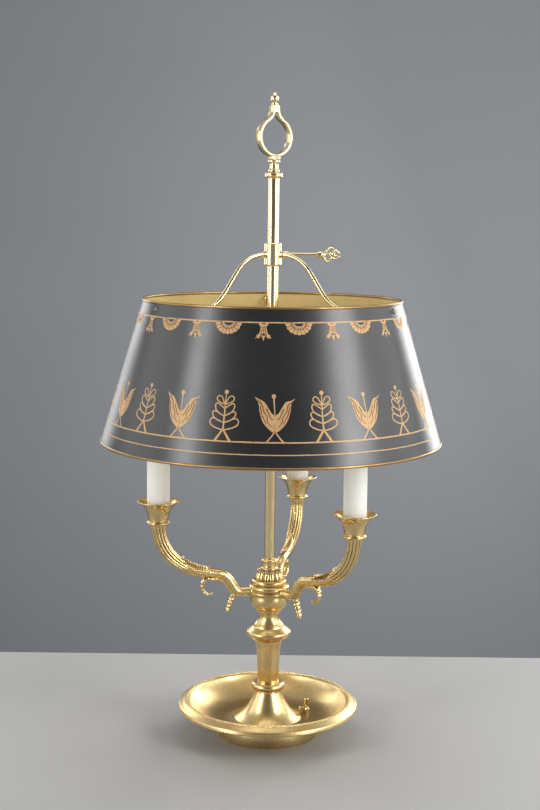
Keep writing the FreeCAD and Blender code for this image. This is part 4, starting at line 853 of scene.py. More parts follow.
def arc_path(corners, radii, spacing):
    """Evenly spaced (x, z) points in millimetres along straight runs joined by arcs."""
    points = [Vector(corner) for corner in corners]
    raw = [points[0]]
    start = points[0]
    for i in range(1, len(points) - 1):
        back, ahead = (points[i - 1] - points[i]).normalized(), (points[i + 1] - points[i]).normalized()
        half_turn = (math.pi - back.angle(ahead)) / 2
        room = (points[i + 1] - points[i]).length * (0.5 if i < len(points) - 2 else 1)
        tangent = min(radii[i - 1] * math.tan(half_turn), 0.98 * (points[i] - start).length, 0.98 * room)
        first, last = points[i] + back * tangent, points[i] + ahead * tangent
        side = back.x * ahead.y - back.y * ahead.x
        bulge = math.tan(half_turn / 2) * (-1 if side > 0 else 1)
        raw.append(first)
        raw += arc_points(first, last, bulge, math.radians(2))
        start = last
    raw.append(points[-1])
    lengths = [0.0]
    for a, b in zip(raw, raw[1:]):
        lengths.append(lengths[-1] + (b - a).length)
    count = max(4, round(lengths[-1] / spacing))
    evened, j = [], 0
    for k in range(count + 1):
        at = lengths[-1] * k / count
        while j < len(raw) - 2 and lengths[j + 1] < at:
            j += 1
        span = lengths[j + 1] - lengths[j]
        share = (at - lengths[j]) / span if span else 0
        evened.append(raw[j].lerp(raw[j + 1], min(1, share)))
    return evened, lengths[-1]


def sweep_plane(name, path, ring_of, around=32, place=Matrix(), smooth_angle=50):
    """Sweep a section along a path in the XZ plane; ring_of(share, length, angle) is its radius in mm.

    Angle 0 points to the upper side of the path and 90 degrees to the side of +Y.
    """
    points, total = path
    count = len(points)

    def ring(i):
        before, after = points[max(0, i - 1)], points[min(count - 1, i + 1)]
        along = (after - before).normalized()
        upper = Vector((-along.y, 0, along.x))
        share = i / (count - 1)
        made = []
        for k in range(around):
            angle = math.tau * k / around
            reach = ring_of(share, share * total, angle)
            wide = 1.0
            if isinstance(reach, tuple):
                reach, wide = reach
            offset = upper * (reach * math.cos(angle)) + Vector((0, reach * wide * math.sin(angle), 0))
            made.append(place @ ((Vector((points[i].x, 0, points[i].y)) + offset) * MM))
        return made

    return swept(name, points, ring, True, smooth_angle)


def between(marks, share):
    """Read a value between (share, value) marks, eased."""
    for (low, first), (high, last) in zip(marks, marks[1:]):
        if share <= high:
            return first + (last - first) * smooth_step((share - low) / (high - low))
    return marks[-1][1]


ARM_SEAT = 21.0
ARM_REACH = 139.5
ARM_PATH = [(21, 0), (41, 0), (55.8, 22.9), (101.3, 30.1), (139.5, 60.7), (139.5, 88.5)]
ARM_BENDS = (8, 20, 60, 57)
ARM_THICK = ((0, 5.8), (0.35, 5.8), (0.45, 6.2), (0.6, 7.2), (0.76, 8.2), (0.94, 8.5), (1, 9.3))

TENDRIL_PATH = [(45.5, -3.5), (59.8, 16.9), (80.8, 19.6), (86.3, 9.9), (81.3, -1.6), (73.3, -0.5)]
TENDRIL_BENDS = (13, 14, 9, 8)


def ball(place, across, up, radius):
    """Small cast ball in the plane of an azimuth."""
    outline = [Vector((radius * math.cos(a), radius * math.sin(a)))
               for a in (math.radians(d) for d in range(-90, 91, 15))]
    outline[0].x = outline[-1].x = 0
    spot = place @ Matrix.Translation(Vector((across, 0, up)) * MM)
    return lathe("ball", outline, 28, spot)


class LAMP_OT_arms(bpy.types.Operator):
    """Cast the three scrolled arms with fluted horn, leaf, tendril and drop of husks"""
    bl_idname = "lamp.arms"
    bl_label = "Candle arms"

    def execute(self, context):
        for side in SIDES:
            low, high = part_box("cup_" + side)
            cup = Vector(((low.x + high.x) / 2, (low.y + high.y) / 2, 0))
            level = low.z - ARM_PATH[-1][1] * MM
            place = frame_at(azimuth_of(cup), Vector((0, 0, level)))
            arm = joined("arm_casting_" + side, self.cast(place))
            fit_out(arm, "stand", "aged_brass", "cast_brass", "arm_" + side)
        return {"FINISHED"}

    def cast(self, place):
        """The pieces of one arm, in the plane of its azimuth."""
        path = arc_path(ARM_PATH, ARM_BENDS, 0.7)
        total = path[1]
        leaf_start, leaf_end = 0.405 * total, 0.66 * total

        def horn(share, length, angle):
            radius = between(ARM_THICK, share)
            ribs = abs(math.sin(6 * angle)) ** 0.55 - 1
            radius += ribs * 1.6 * smooth_step((share - 0.55) / 0.12)
            lobes = 3.2 * abs(math.sin(2.5 * angle))
            leaf = smooth_step((length - leaf_start - lobes) / 1.4)
            tip = leaf_end - 26 * (1 - max(0, math.cos(angle)) ** 0.7)
            leaf *= 1 - smooth_step((length - tip) / 3)
            top = max(0, math.cos(angle)) ** 0.55
            scale_run = (length - leaf_start) / 3.3 + 0.35 * math.cos(2 * angle)
            scale = (scale_run % 1) ** 1.6
            veins = 0.3 * abs(math.sin(7 * angle + 0.05 * length))
            curl = 1.5 * math.exp(-((length - leaf_end + 1.5) / 1.3) ** 2) * max(0, math.cos(angle)) ** 6
            return radius + leaf * (0.4 + 2.0 * top * scale - veins * (1 - top)) + curl

        pieces = [sweep_plane("horn", path, horn, 120, place)]

        flare = arc_path([(ARM_SEAT - 1, 0), (ARM_SEAT + 7, 0)], (), 0.5)
        pieces.append(sweep_plane("stub_ring", flare, lambda share, length, angle: 5.7 + 1.6 * math.exp(
            -((length - 2.6) / 1.5) ** 2), 48, place))

        def tendril(share, length, angle):
            size = between(((0, 2.6), (0.35, 2.1), (0.62, 2.4), (0.85, 2.0), (1, 1.3)), share)
            groove = 0.4 * math.exp(-((abs(angle - math.pi / 2) % math.pi) / 0.4) ** 2)
            ridges = 0.3 * math.sin(length * 1.5) * smooth_step((share - 0.4) / 0.1)
            wide = 1 + 0.8 * smooth_step((share - 0.4) / 0.15)
            return size - groove + ridges * max(0, math.cos(angle)), wide

        hook = arc_path(TENDRIL_PATH, TENDRIL_BENDS, 0.4)
        pieces.append(sweep_plane("tendril", hook, tendril, 32, place))
        tip = hook[0][-1]
        pieces.append(ball(place, tip.x, tip.y, 1.7))
        pieces.append(self.husks(place, TENDRIL_PATH[0][0], TENDRIL_PATH[0][1] + 1.5))

        nipple = arc_path([(ARM_REACH, ARM_PATH[-1][1] - 1), (ARM_REACH, ARM_PATH[-1][1] + 9)], (), 1.0)
        pieces.append(sweep_plane("nipple", nipple, lambda share, length, angle: 4.9, 32, place))
        return pieces

    def husks(self, place, across, up):
        """Chain of five husks, each over the next, that hangs and ends in a bead."""
        count, length, widest = 5, 23.0, 3.6
        pitch = length / count
        outline = [Vector((0, 1.5)), Vector((2.1, 1.2))]
        for k in range(count):
            size = widest * (1 - 0.1 * abs(k - 1.2))
            top = -k * pitch
            for drop, share in ((0.1, 0.78), (0.35, 0.94), (0.65, 1.0), (0.88, 0.93), (0.99, 0.76)):
                outline.append(Vector((size * share, top - drop * pitch)))
        bottom = -count * pitch
        for angle in range(60, -91, -15):
            reach = math.radians(angle)
            outline.append(Vector((max(0, 1.5 * math.cos(reach)), bottom - 0.6 + 1.5 * math.sin(reach))))
        outline[-1].x = 0

        def fluted(angle, radius, height):
            groove = abs(math.sin(3 * angle + 0.3 * height))
            return radius * (1 - 0.14 * (1 - groove ** 0.6)), height

        tilt = Matrix.Rotation(math.radians(-20), 4, "Y") @ Matrix.Diagonal((1, 1.35, 1, 1))
        spot = place @ Matrix.Translation(Vector((across, 0, up)) * MM) @ tilt
        return lathe("husks", outline, 64, spot, fluted)


class LAMP_OT_candles(bpy.types.Operator):
    """Turn the cups with leafy rims, and set sleeve and bulb in each"""
    bl_idname = "lamp.candles"
    bl_label = "Cups, sleeves and bulbs"

    def execute(self, context):
        ribs = 36

        def chased(angle, radius, up):
            rim = smooth_step((radius - 15.2) / 7) * smooth_step((up - 19) / 6)
            wave = abs(math.sin(angle * ribs / 2))
            hammered = 0.25 * math.sin(5 * angle + 1) + 0.2 * math.sin(11 * angle)
            dip = 0.3 * (1 - wave ** 0.7) + 0.25 * hammered
            return radius - rim * 0.22 * (1 - wave ** 0.6), up - rim * dip

        for side in SIDES:
            cup = turned("candle_cup_" + side, "cup_" + side, [
                (5.05, 0), (10.2, 0), (10.4, 1.2), (12.9, 1.8, 0.8), (12.9, 5), (12.2, 5.8),
                (12.6, 10, -0.02), (13.9, 16, -0.03), (16.6, 21.5, -0.06), (20.5, 25.8, -0.04),
                (25.2, 28.8, 0.8), (24.4, 30.2, 0.05), (19.5, 26.9, 0.08), (15.4, 21.8), (13.95, 18), (13.95, 16), (9.8, 16),
                (9.8, 4), (5.05, 4),
            ], around=ribs * 8, easing=0.25, reshape=chased)
            fit_out(cup, "stand", "aged_brass", "cast_brass", "cup_" + side)
            sleeve = turned("candle_sleeve_" + side, "sleeve_" + side, [
                (12.35, 0), (13.75, 0), (13.75, 101.6), (12.35, 101.6),
            ], around=96, easing=0.6)
            fit_out(sleeve, "stand", "ivory", "ivory_cover", "sleeve_" + side)
            self.fit_bulb(side)
        return {"FINISHED"}

    def fit_bulb(self, side):
        """Thin glass round a stem with a bent filament, on a screwed base."""
        foot, _, _ = node_spine("bulb_glass_" + side)
        glass = turned("bulb_envelope_" + side, "bulb_glass_" + side, [
            (5, 0), (5.8, 0, -0.05), (8.2, 8, 0.22), (16, 28, 0.15), (5.33, 68, 0.1), (0.7, 80), (0, 80),
            (0, 78.2), (0.7, 78.2, -0.1), (4.5, 67.4, -0.15), (15.2, 28, -0.22), (7.4, 8.4, 0.05),
        ], around=72, easing=0)
        fit_out(glass, "stand", "bulb_glass", "bulb_glass", "bulb_glass_" + side)

        def threaded(angle, radius, up):
            if radius < 5 or not 3 < up < 20:
                return radius, up
            return radius - 0.22 * (1 - math.cos(up * math.tau / 1.8 - angle)), up

        thread = [(5.95, 3.2 + 0.3 * k) for k in range(57)]
        rows = [(0, 0), (2, 0), (5.3, 2.4)] + thread + [(5.95, 23.5), (0, 23.5)]
        base = turned("bulb_screw_" + side, "bulb_base_" + side, rows, around=48, easing=0, reshape=threaded)
        fit_out(base, "stand", "bulb_metal", "thin_aluminium", "bulb_base_" + side)

        stem = lathe("filament_stem", drawn([(0, 0), (3.6, 0), (2.2, 7, 0.1), (1.5, 16), (0, 16.4)], 0.3), 32,
                     Matrix.Translation(foot))
        wires = []
        for turn in (-1, 1):
            path = arc_path([(1.0 * turn, 15), (1.2 * turn, 27), (5.5 * turn, 36)], (6,), 1.0)
            wires.append(sweep_plane("wire", path, lambda share, length, angle: 0.28, 8,
                                     Matrix.Translation(foot)))
        coil = arc_path([(-5.5, 36), (-2.6, 44), (0, 37), (2.6, 44), (5.5, 36)], (2, 2, 2), 0.5)
        wires.append(sweep_plane("coil", coil, lambda share, length, angle: (
            0.3 + 0.08 * math.sin(length * 9)), 8, Matrix.Translation(foot)))
        inner = joined("filament_" + side, [stem] + wires)
        fit_out(inner, "stand", "bulb_metal", "filament_wire")


# Shade

SHADE_HALF_WALL = 0.4


class ShadeWall:
    """The cone that the shade's sheet follows, read from the two rims of the frame."""

    def __init__(self):
        low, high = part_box("shade_bottom_rim")
        self.bottom = (high.x - low.x) / 2 / MM - 1.75
        self.bottom_up = (low.z + high.z) / 2 / MM
        low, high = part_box("shade_top_rim")
        self.top = (high.x - low.x) / 2 / MM - 1.75
        self.top_up = (low.z + high.z) / 2 / MM
        rise, run = self.top_up - self.bottom_up, self.bottom - self.top
        self.slope = run / rise
        length = math.hypot(rise, run)
        self.normal = Vector((rise / length, run / length))

    def section(self, up, out):
        """(radius, height) in millimetres of a point so far out from the sheet's middle."""
        radius = self.bottom - (up - self.bottom_up) * self.slope
        return radius + out * self.normal.x, up + out * self.normal.y

    def spot(self, azimuth, up, out):
        """Point in metres at an azimuth in degrees and a height, so far out from the middle."""
        radius, height = self.section(up, out)
        return towards(azimuth) * radius * MM + Vector((0, 0, height * MM))


class LAMP_OT_shade(bpy.types.Operator):
    """Roll the shade's painted sheet, its lining and its two wired edges"""
    bl_idname = "lamp.shade"
    bl_label = "Shade"

    def execute(self, context):
        wall = ShadeWall()
        low, high = wall.bottom_up + 1, wall.top_up - 1
        steps = 12

        def sheet(inner, outer):
            ups = [low + (high - low) * k / steps for k in range(steps + 1)]
            outside = [Vector(wall.section(up, outer)) for up in ups]
            inside = [Vector(wall.section(up, inner)) for up in reversed(ups)]
            return outside + inside

        paint = lathe("shade_sheet", sheet(-0.12, SHADE_HALF_WALL), 360, smooth_angle=30)
        fit_out(paint, "shade_carriage", "black_tole", "black_paint", "shade_shell")
        lining = lathe("shade_lining", sheet(-SHADE_HALF_WALL, -0.16), 360, smooth_angle=30)
        fit_out(lining, "shade_carriage", None, "lining_paint")

        for name, node, centre, lap in (("bottom", "shade_bottom_rim", wall.bottom_up, 1),
                                        ("top", "shade_top_rim", wall.top_up, -1)):
            radius = wall.section(centre, 0)[0]
            slant = math.atan2(wall.normal.y, wall.normal.x)
            outline = []
            for k in range(28):
                angle = slant + lap * (math.pi / 2 + math.radians(-150 + 300 * k / 27 + 180))
                outline.append(Vector((radius + 1.7 * math.cos(angle), centre + 1.7 * math.sin(angle))))
            edge = lathe("shade_edge_" + name, outline, 360, smooth_angle=30)
            fit_out(edge, "shade_carriage", "rim_brass", "gilt_wire", node)
        return {"FINISHED"}


class Brush:
    """Collects flat painted strokes and leaves, and lays them on the shade as thin raised paint."""

    def __init__(self, wall, out, thick):
        self.wall, self.out, self.thick = wall, out, thick
        self.vertices, self.faces = [], []
        self.azimuth, self.level, self.mirror = 0.0, 0.0, 1

    def start(self, azimuth, level, mirror=1):
        """Move to a figure's own middle and ground."""
        self.azimuth, self.level, self.mirror = azimuth, level, mirror

    def point(self, across, up):
        """Lay one flat point in millimetres on the cone, as an upper and a lower vertex."""
        height = self.level + up * self.wall.normal.x
        radius, _ = self.wall.section(height, self.out)
        azimuth = self.azimuth + self.mirror * math.degrees(across / radius)
        for out in (self.out + self.thick, self.out):
            self.vertices.append(self.wall.spot(azimuth, height, out))
        return len(self.vertices) - 2

    def strip(self, left, right, closed=False):
        """Thin solid between two rows of flat points."""
        a = [self.point(*p) for p in left]
        b = [self.point(*p) for p in right]
        count = len(a)
        for i in range(count if closed else count - 1):
            j = (i + 1) % count
            self.faces += [(a[i], a[j], b[j], b[i]), (a[i] + 1, b[i] + 1, b[j] + 1, a[j] + 1),
                           (a[i], a[i] + 1, a[j] + 1, a[j]), (b[i], b[j], b[j] + 1, b[i] + 1)]
        if not closed:
            for i in (0, count - 1):
                self.faces.append((a[i], b[i], b[i] + 1, a[i] + 1))

    def stroke(self, points, width, end_width=None):
        """A brush stroke along points, of one width or tapering to another."""
        points = [Vector(p) for p in points]
        smooth = flowing(points)
        last = width if end_width is None else end_width
        left, right = [], []
        for i, here in enumerate(smooth):
            along = smooth[min(i + 1, len(smooth) - 1)] - smooth[max(i - 1, 0)]
            side = Vector((-along.y, along.x)).normalized()
            half = (width + (last - width) * i / (len(smooth) - 1)) / 2
            left.append(here + side * half)
            right.append(here - side * half)
        self.strip(left, right)

    def dot(self, across, up, radius, hole=0.0):
        """A round dot, or a ring if it has a hole."""
        inner = max(hole, 0.02)
        rim, core = [], []
        for k in range(16):
            angle = math.tau * k / 16
            rim.append((across + radius * math.cos(angle), up + radius * math.sin(angle)))
            core.append((across + inner * math.cos(angle), up + inner * math.sin(angle)))
        self.strip(core, rim, closed=True)

    def finish(self, name):
        """Make the object."""
        return mesh_object(name, self.vertices, self.faces, None, 30)


def flowing(points, steps=5):
    """Smooth curve through points."""
    made = []
    for i in range(len(points) - 1):
        before = points[max(i - 1, 0)]
        first, second = points[i], points[i + 1]
        after = points[min(i + 2, len(points) - 1)]
        for k in range(steps):
            t = k / steps
            made.append(0.5 * ((2 * first) + (second - before) * t
                               + (2 * before - 5 * first + 4 * second - after) * t * t
                               + (3 * first - before - 3 * second + after) * t * t * t))
    made.append(points[-1])
    return made


TULIP_OUTER = [(0, 10.6), (-5.3, 13.4), (-13, 22), (-17, 34), (-18.2, 43), (-22.6, 50.4)]
TULIP_INNER = [(0, 29.6), (-3.6, 32), (-7.7, 38.6), (-12, 44.6), (-17.5, 47.6), (-22.6, 50.4)]
TULIP_VEINS = ([(-18.8, 46.6), (-13.6, 40.5), (-12.2, 34), (-8.4, 28.5), (-7.8, 22.6), (-3.4, 17)],
               [(-16.4, 40), (-14.6, 31), (-12, 25), (-9.6, 20)],
               [(-9.4, 37), (-6.8, 31.5), (-4.8, 27), (-1.8, 25)])
TREE_LOOPS = ((12.5, 16.0, 20.6, 25.3, 20.4), (20.8, 13.1, 30.2, 33.0, 27.8),
              (28.2, 11.2, 38.2, 41.9, 36.2))
TREE_TOP_LEAF = [(0.4, 40.9), (5.4, 42.6), (9.2, 45.2), (9.7, 47.8), (8.2, 49.9), (6.0, 50.1), (3.9, 48.6),
                 (2.7, 46.2), (1.4, 43.4), (0.6, 41.4)]
ORNAMENT_LIFT = 0.42


class LAMP_OT_ornament(bpy.types.Operator):
    """Paint the lines, tulips, trees, tassels and rosettes on the shade"""
    bl_idname = "lamp.ornament"
    bl_label = "Painted ornament"

    def execute(self, context):
        shade = context.scene.lamp_shade
        wall = ShadeWall()
        gilt = Brush(wall, ORNAMENT_LIFT, 0.05)
        lines = Brush(wall, ORNAMENT_LIFT + 0.05, 0.04)
        chance = random.Random(7)
        for level, width in ((shade.ground_line, 1.6), (shade.lower_line, 1.2), (shade.upper_line, 1.5)):
            self.band(gilt, level / MM, width, chance)
        pitch = 360 / shade.tulips
        for k in range(shade.tulips):
            azimuth = 1.4 + pitch * k + chance.uniform(-0.3, 0.3)
            self.tulip(gilt, lines, azimuth, shade.ground_line / MM, chance)
            self.tree(gilt, azimuth + pitch / 2 - 0.4, shade.ground_line / MM, chance)
        pitch = 360 / shade.tassels
        for k in range(shade.tassels):
            azimuth = -3.5 + pitch * k + chance.uniform(-0.3, 0.3)
            self.tassel(gilt, lines, azimuth, shade.upper_line / MM, chance)
            self.rosette(gilt, lines, azimuth + pitch / 2, shade.upper_line / MM, chance)
        fit_out(gilt.finish("ornament_figures"), "shade_carriage", "rim_brass", "ornament_gilt")
        fit_out(lines.finish("ornament_veins"), "shade_carriage", "rim_brass", "ornament_line")
        return {"FINISHED"}

    def band(self, brush, level, width, chance):
        """A hand-drawn line round the shade, a little uneven in width."""
        brush.start(0, level)
        radius, _ = brush.wall.section(level, brush.out)
        count = 360
        waver = [chance.uniform(-0.22, 0.22) for _ in range(count)]
        upper, lower = [], []
        for k in range(count):
            across = math.radians(360 * k / count) * radius
            swell = (waver[k] + waver[k - 1] + waver[k - 2]) / 3
            upper.append((across, width / 2 + swell))
            lower.append((across, -width / 2 + swell / 2))
        brush.strip(upper, lower, closed=True)

    def tulip(self, gilt, lines, azimuth, level, chance):
        """Two curling petals with wavy veins, a stamen and two feet."""
        gilt.start(azimuth, level)
        tilt = chance.uniform(-1.2, 1.2)
        for side in (-1, 1):
            def lean(p, side=side):
                return Vector((-side * p[0] * (1 if side < 0 else 0.98) + tilt * (p[1] - 10) / 40,
                               p[1] - (1.6 if side > 0 and p[1] > 45 else 0)))
            outer = flowing([lean(p) for p in TULIP_OUTER])
            inner = flowing([lean(p) for p in TULIP_INNER])
            gilt.strip(outer, inner)
        for side in (-1, 1):
            gilt.stroke([(0.6 * side, 11.5), (4.5 * side, 6), (9.2 * side, 0.4)], 1.3, 1.9)
        ring = chance.random() < 0.4
        gilt.stroke([(tilt * 0.4, 29), (-0.8, 40), (-1.2, 49)], 1.0, 1.7)
        gilt.dot(-1.3, 50.8, 2.5, 1.2 if ring else 0)
        lines.start(azimuth, level)
        for side in (-1, 1):
            for vein in TULIP_VEINS:
                jitter = chance.uniform(-0.4, 0.4)
                points = [Vector((-side * (x + jitter) + tilt * (y - 10) / 40,
                                  y - (1.6 if side > 0 and y > 45 else 0))) for x, y in vein]
                lines.stroke(points, 1.2, 0.75)

    def tree(self, gilt, azimuth, level, chance):
        """Three pairs of open leaves stacked on a stem, a closed pair and a dot on top, and two feet."""
        gilt.start(azimuth, level)
        sway = chance.uniform(-0.6, 0.6)
        gilt.stroke([(0, 11.5), (0.2 + sway, 26), (0.3 + sway, 38), (0.4, 52)], 2.0, 1.1)
        gilt.dot(0.5, 54.5, 2.4)
        for side in (-1, 1):
            for foot, reach, widest, tip, joint in TREE_LOOPS:
                wide = side * reach * chance.uniform(0.95, 1.05)
                rise = widest - foot
                gilt.stroke([(0.3 * side, foot), (wide * 0.5, foot + 0.22 * rise),
                             (wide * 0.88, foot + 0.6 * rise), (wide, widest),
                             (wide * 0.96, (widest + tip) / 2 + 0.7), (wide * 0.79, tip),
                             (wide * 0.44, tip - 0.38 * (tip - joint)), (0.3 * side, joint)], 1.5, 1.3)
            gilt.stroke([(side * x, up) for x, up in TREE_TOP_LEAF], 1.3, 1.1)
            gilt.stroke([(0.3 * side, 13), (3.6 * side, 8), (8.6 * side, 0.3)], 1.9, 2.7)

    def tassel(self, gilt, lines, azimuth, level, chance):
        """A cap and a bell of cloth that ends in three points."""
        gilt.start(azimuth, level)
        gilt.strip([(-5.8, 0), (-5.2, -1.8), (-3.6, -4.2), (-3.0, -5.4), (-3.7, -9), (-5.2, -13.5),
                    (-6.8, -16.6)],
                   [(5.8, 0), (5.2, -1.8), (3.6, -4.2), (3.0, -5.4), (3.9, -9), (5.6, -13.5), (6.8, -16.4)])
        for side in (-1, 1):
            gilt.stroke([(5.0 * side, -13.5), (6.9 * side, -16.2), (9.0 * side, -17.6)], 2.2, 0.4)
        for across, drop in ((-5.4, -18.0), (0.2, -20.2), (5.6, -18.4)):
            gilt.strip([(across - 2.6, -14.5), (across - 1.4, -16.6), (across - 0.2, drop)],
                       [(across + 2.6, -14.5), (across + 1.4, -16.6), (across + 0.2, drop)])
        lines.start(azimuth, level)
        lines.stroke([(-3.0, -4.6), (0, -5.4), (3.0, -4.6)], 0.8)
        for across in (-2.2, 0.3, 2.6):
            lines.stroke([(across * 0.6, -6.5), (across, -11), (across * 1.3, -14.6)], 0.7, 0.45)
        lines.stroke([(-3.4, -17.6), (-2.6, -15.4), (-1.6, -17.4)], 0.5)
        lines.stroke([(2.0, -17.6), (2.9, -15.2), (3.8, -17.6)], 0.5)

    def rosette(self, gilt, lines, azimuth, level, chance):
        """Half a scalloped flower that hangs from the line, open in its middle."""
        gilt.start(azimuth, level)
        petals, steps = 9, 8
        outer, inner = [], []
        for k in range(petals * steps + 1):
            angle = math.pi * k / (petals * steps)
            lobe = abs(math.sin(angle * petals))
            reach = 13.0 + 1.3 * lobe ** 0.6
            outer.append((-reach * 1.07 * math.cos(angle), -reach * math.sin(angle) * 0.98))
            inner.append((-5.6 * math.cos(angle), -4.2 * math.sin(angle)))
        gilt.strip(outer, inner)
        lines.start(azimuth, level)
        ring = []
        for k in range(petals * 2 * 4 + 1):
            angle = math.pi * k / (petals * 2 * 4)
            reach = 8.0 + 0.7 * abs(math.sin(angle * petals * 2))
            ring.append((-reach * 1.05 * math.cos(angle), -reach * 0.93 * math.sin(angle)))
        lines.stroke(ring, 0.55)
        for k in range(petals + 1):
            angle = math.pi * (k + 0.04) / (petals + 0.08)
            shake = chance.uniform(-0.03, 0.03)
            lines.stroke([(-6.6 * math.cos(angle), -5.4 * math.sin(angle)),
                          (-9.4 * math.cos(angle + shake), -8.6 * math.sin(angle + shake)),
                          (-13.2 * math.cos(angle), -12.2 * math.sin(angle))], 0.9, 0.5)


class LAMP_OT_carriage(bpy.types.Operator):
    """Dress the collar, spider arms, screws, thumb nuts and the leafy clamp key"""
    bl_idname = "lamp.carriage"
    bl_label = "Shade carriage"

    def execute(self, context):
        for node in ("shade_collar", "spider_arm_left", "spider_arm_right", "spider_arm_back", "shade_nuts"):
            carry_over(node, "filed_brass")
        carry_over("shade_screws", "dull_screw_steel")
        carry_over("collar_bush", "nylon_liner")
        self.key()
        return {"FINISHED"}

    def key(self):
        """Shaft with its collar, and a head of curled leaves and beads."""
        low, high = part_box("shade_key")
        place = frame_at(105.0, Vector((0, 0, (low.z + high.z) / 2)))
        along = place @ Matrix.Rotation(math.pi / 2, 4, "Y")
        shaft = lathe("shaft", drawn([
            (0, 8.3), (1.75, 8.3), (2.25, 8.8), (2.25, 52), (2.6, 54.5, 0.2), (3.6, 57), (4.1, 59, 0.3),
            (3.3, 62), (2.4, 63), (2.2, 66), (0, 68),
        ], 0.2), 48, along)
        pieces = [shaft]
        leaves = (
            ([(60, 0.5), (66, 3.5), (70, 8), (75.5, 8.6), (78, 5.4)], 3.2, 1.4),
            ([(61, -0.5), (65, -4.5), (66.5, -8.3), (70.5, -8.2), (72, -5)], 3.0, 1.3),
            ([(66, 0), (72, 1.5), (77, -1.5), (81.5, -0.5)], 2.7, 1.6),
            ([(70, 0), (74, -3.4), (79, -5.4), (81.8, -3.2)], 2.2, 1.2),
            ([(72, 2.5), (77.5, 4.5), (82, 4.2), (83.6, 1.6)], 2.1, 1.2),
        )
        for k, (spine, wide, thin) in enumerate(leaves):
            path = arc_path(spine, tuple(4.0 for _ in spine[2:]), 0.5)

            def leaf(share, length, angle, wide=wide, thin=thin):
                body = math.sin(math.pi * min(1, 0.18 + share * 0.9)) ** 0.7
                return thin * (0.45 + 0.75 * body) - 0.25 * abs(math.sin(1.5 * length)), wide / thin * 0.62

            pieces.append(sweep_plane(f"leaf_{k}", path, leaf, 24, place))
        berries = ((78.4, 5.0, 1.9), (72.2, -4.8, 1.9), (82.6, -2.6, 1.7), (83.2, 2.2, 1.6), (76, 0.6, 2.4))
        for across, up, radius in berries:
            pieces.append(ball(place, across, up, radius))
        key = joined("clamp_key_casting", pieces)
        fit_out(key, "clamp_key", "bright_brass", "filed_brass", "shade_key")


class LAMP_OT_switch(bpy.types.Operator):
    """Dress the toggle switch: hexagon nut, threaded bushing and bat lever"""
    bl_idname = "lamp.switch"
    bl_label = "Switch"

    def execute(self, context):
        foot, _, _ = node_spine("switch_bushing")

        def threaded(angle, radius, up):
            if radius < 5 or not 0.6 < up < 8.4:
                return radius, up
            return radius - 0.16 * (1 - math.cos(up * math.tau / 0.9 - angle)), up

        rows = [(4.3, 0), (5.9, 0)] + [(5.9, 0.15 * k) for k in range(1, 58)] + [(5.4, 9), (4.3, 9)]
        bushing = turned("switch_bushing_thread", "switch_bushing", rows, 64, 0, threaded)
        fit_out(bushing, "stand", "bright_brass", "filed_brass", "switch_bushing")
        carry_over("switch_nut", "filed_brass")
        carry_over("switch_lever", "drawn_brass")
        return {"FINISHED"}


def carry_over(node, material):
    """Give a frame node a better material."""
    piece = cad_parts[node]
    piece.data.materials.clear()
    piece.data.materials.append(bpy.data.materials[material])


class LAMP_OT_inner_pieces(bpy.types.Operator):
    """Finish the working pieces that sit inside the lamp"""
    bl_idname = "lamp.inner_pieces"
    bl_label = "Inner pieces"

    def execute(self, context):
        finishes = {
            "base_weight": "cast_iron", "felt_pad": "green_felt", "cord_bush": "black_phenolic",
            "centre_pipe": "zinc_steel", "base_washer": "zinc_steel", "base_nut": "zinc_steel",
            "arm_nuts": "zinc_steel", "switch_body": "black_phenolic",
        }
        for side in SIDES:
            finishes["socket_" + side] = "black_phenolic"
        for node, material in finishes.items():
            carry_over(node, material)
        return {"FINISHED"}


# Stage

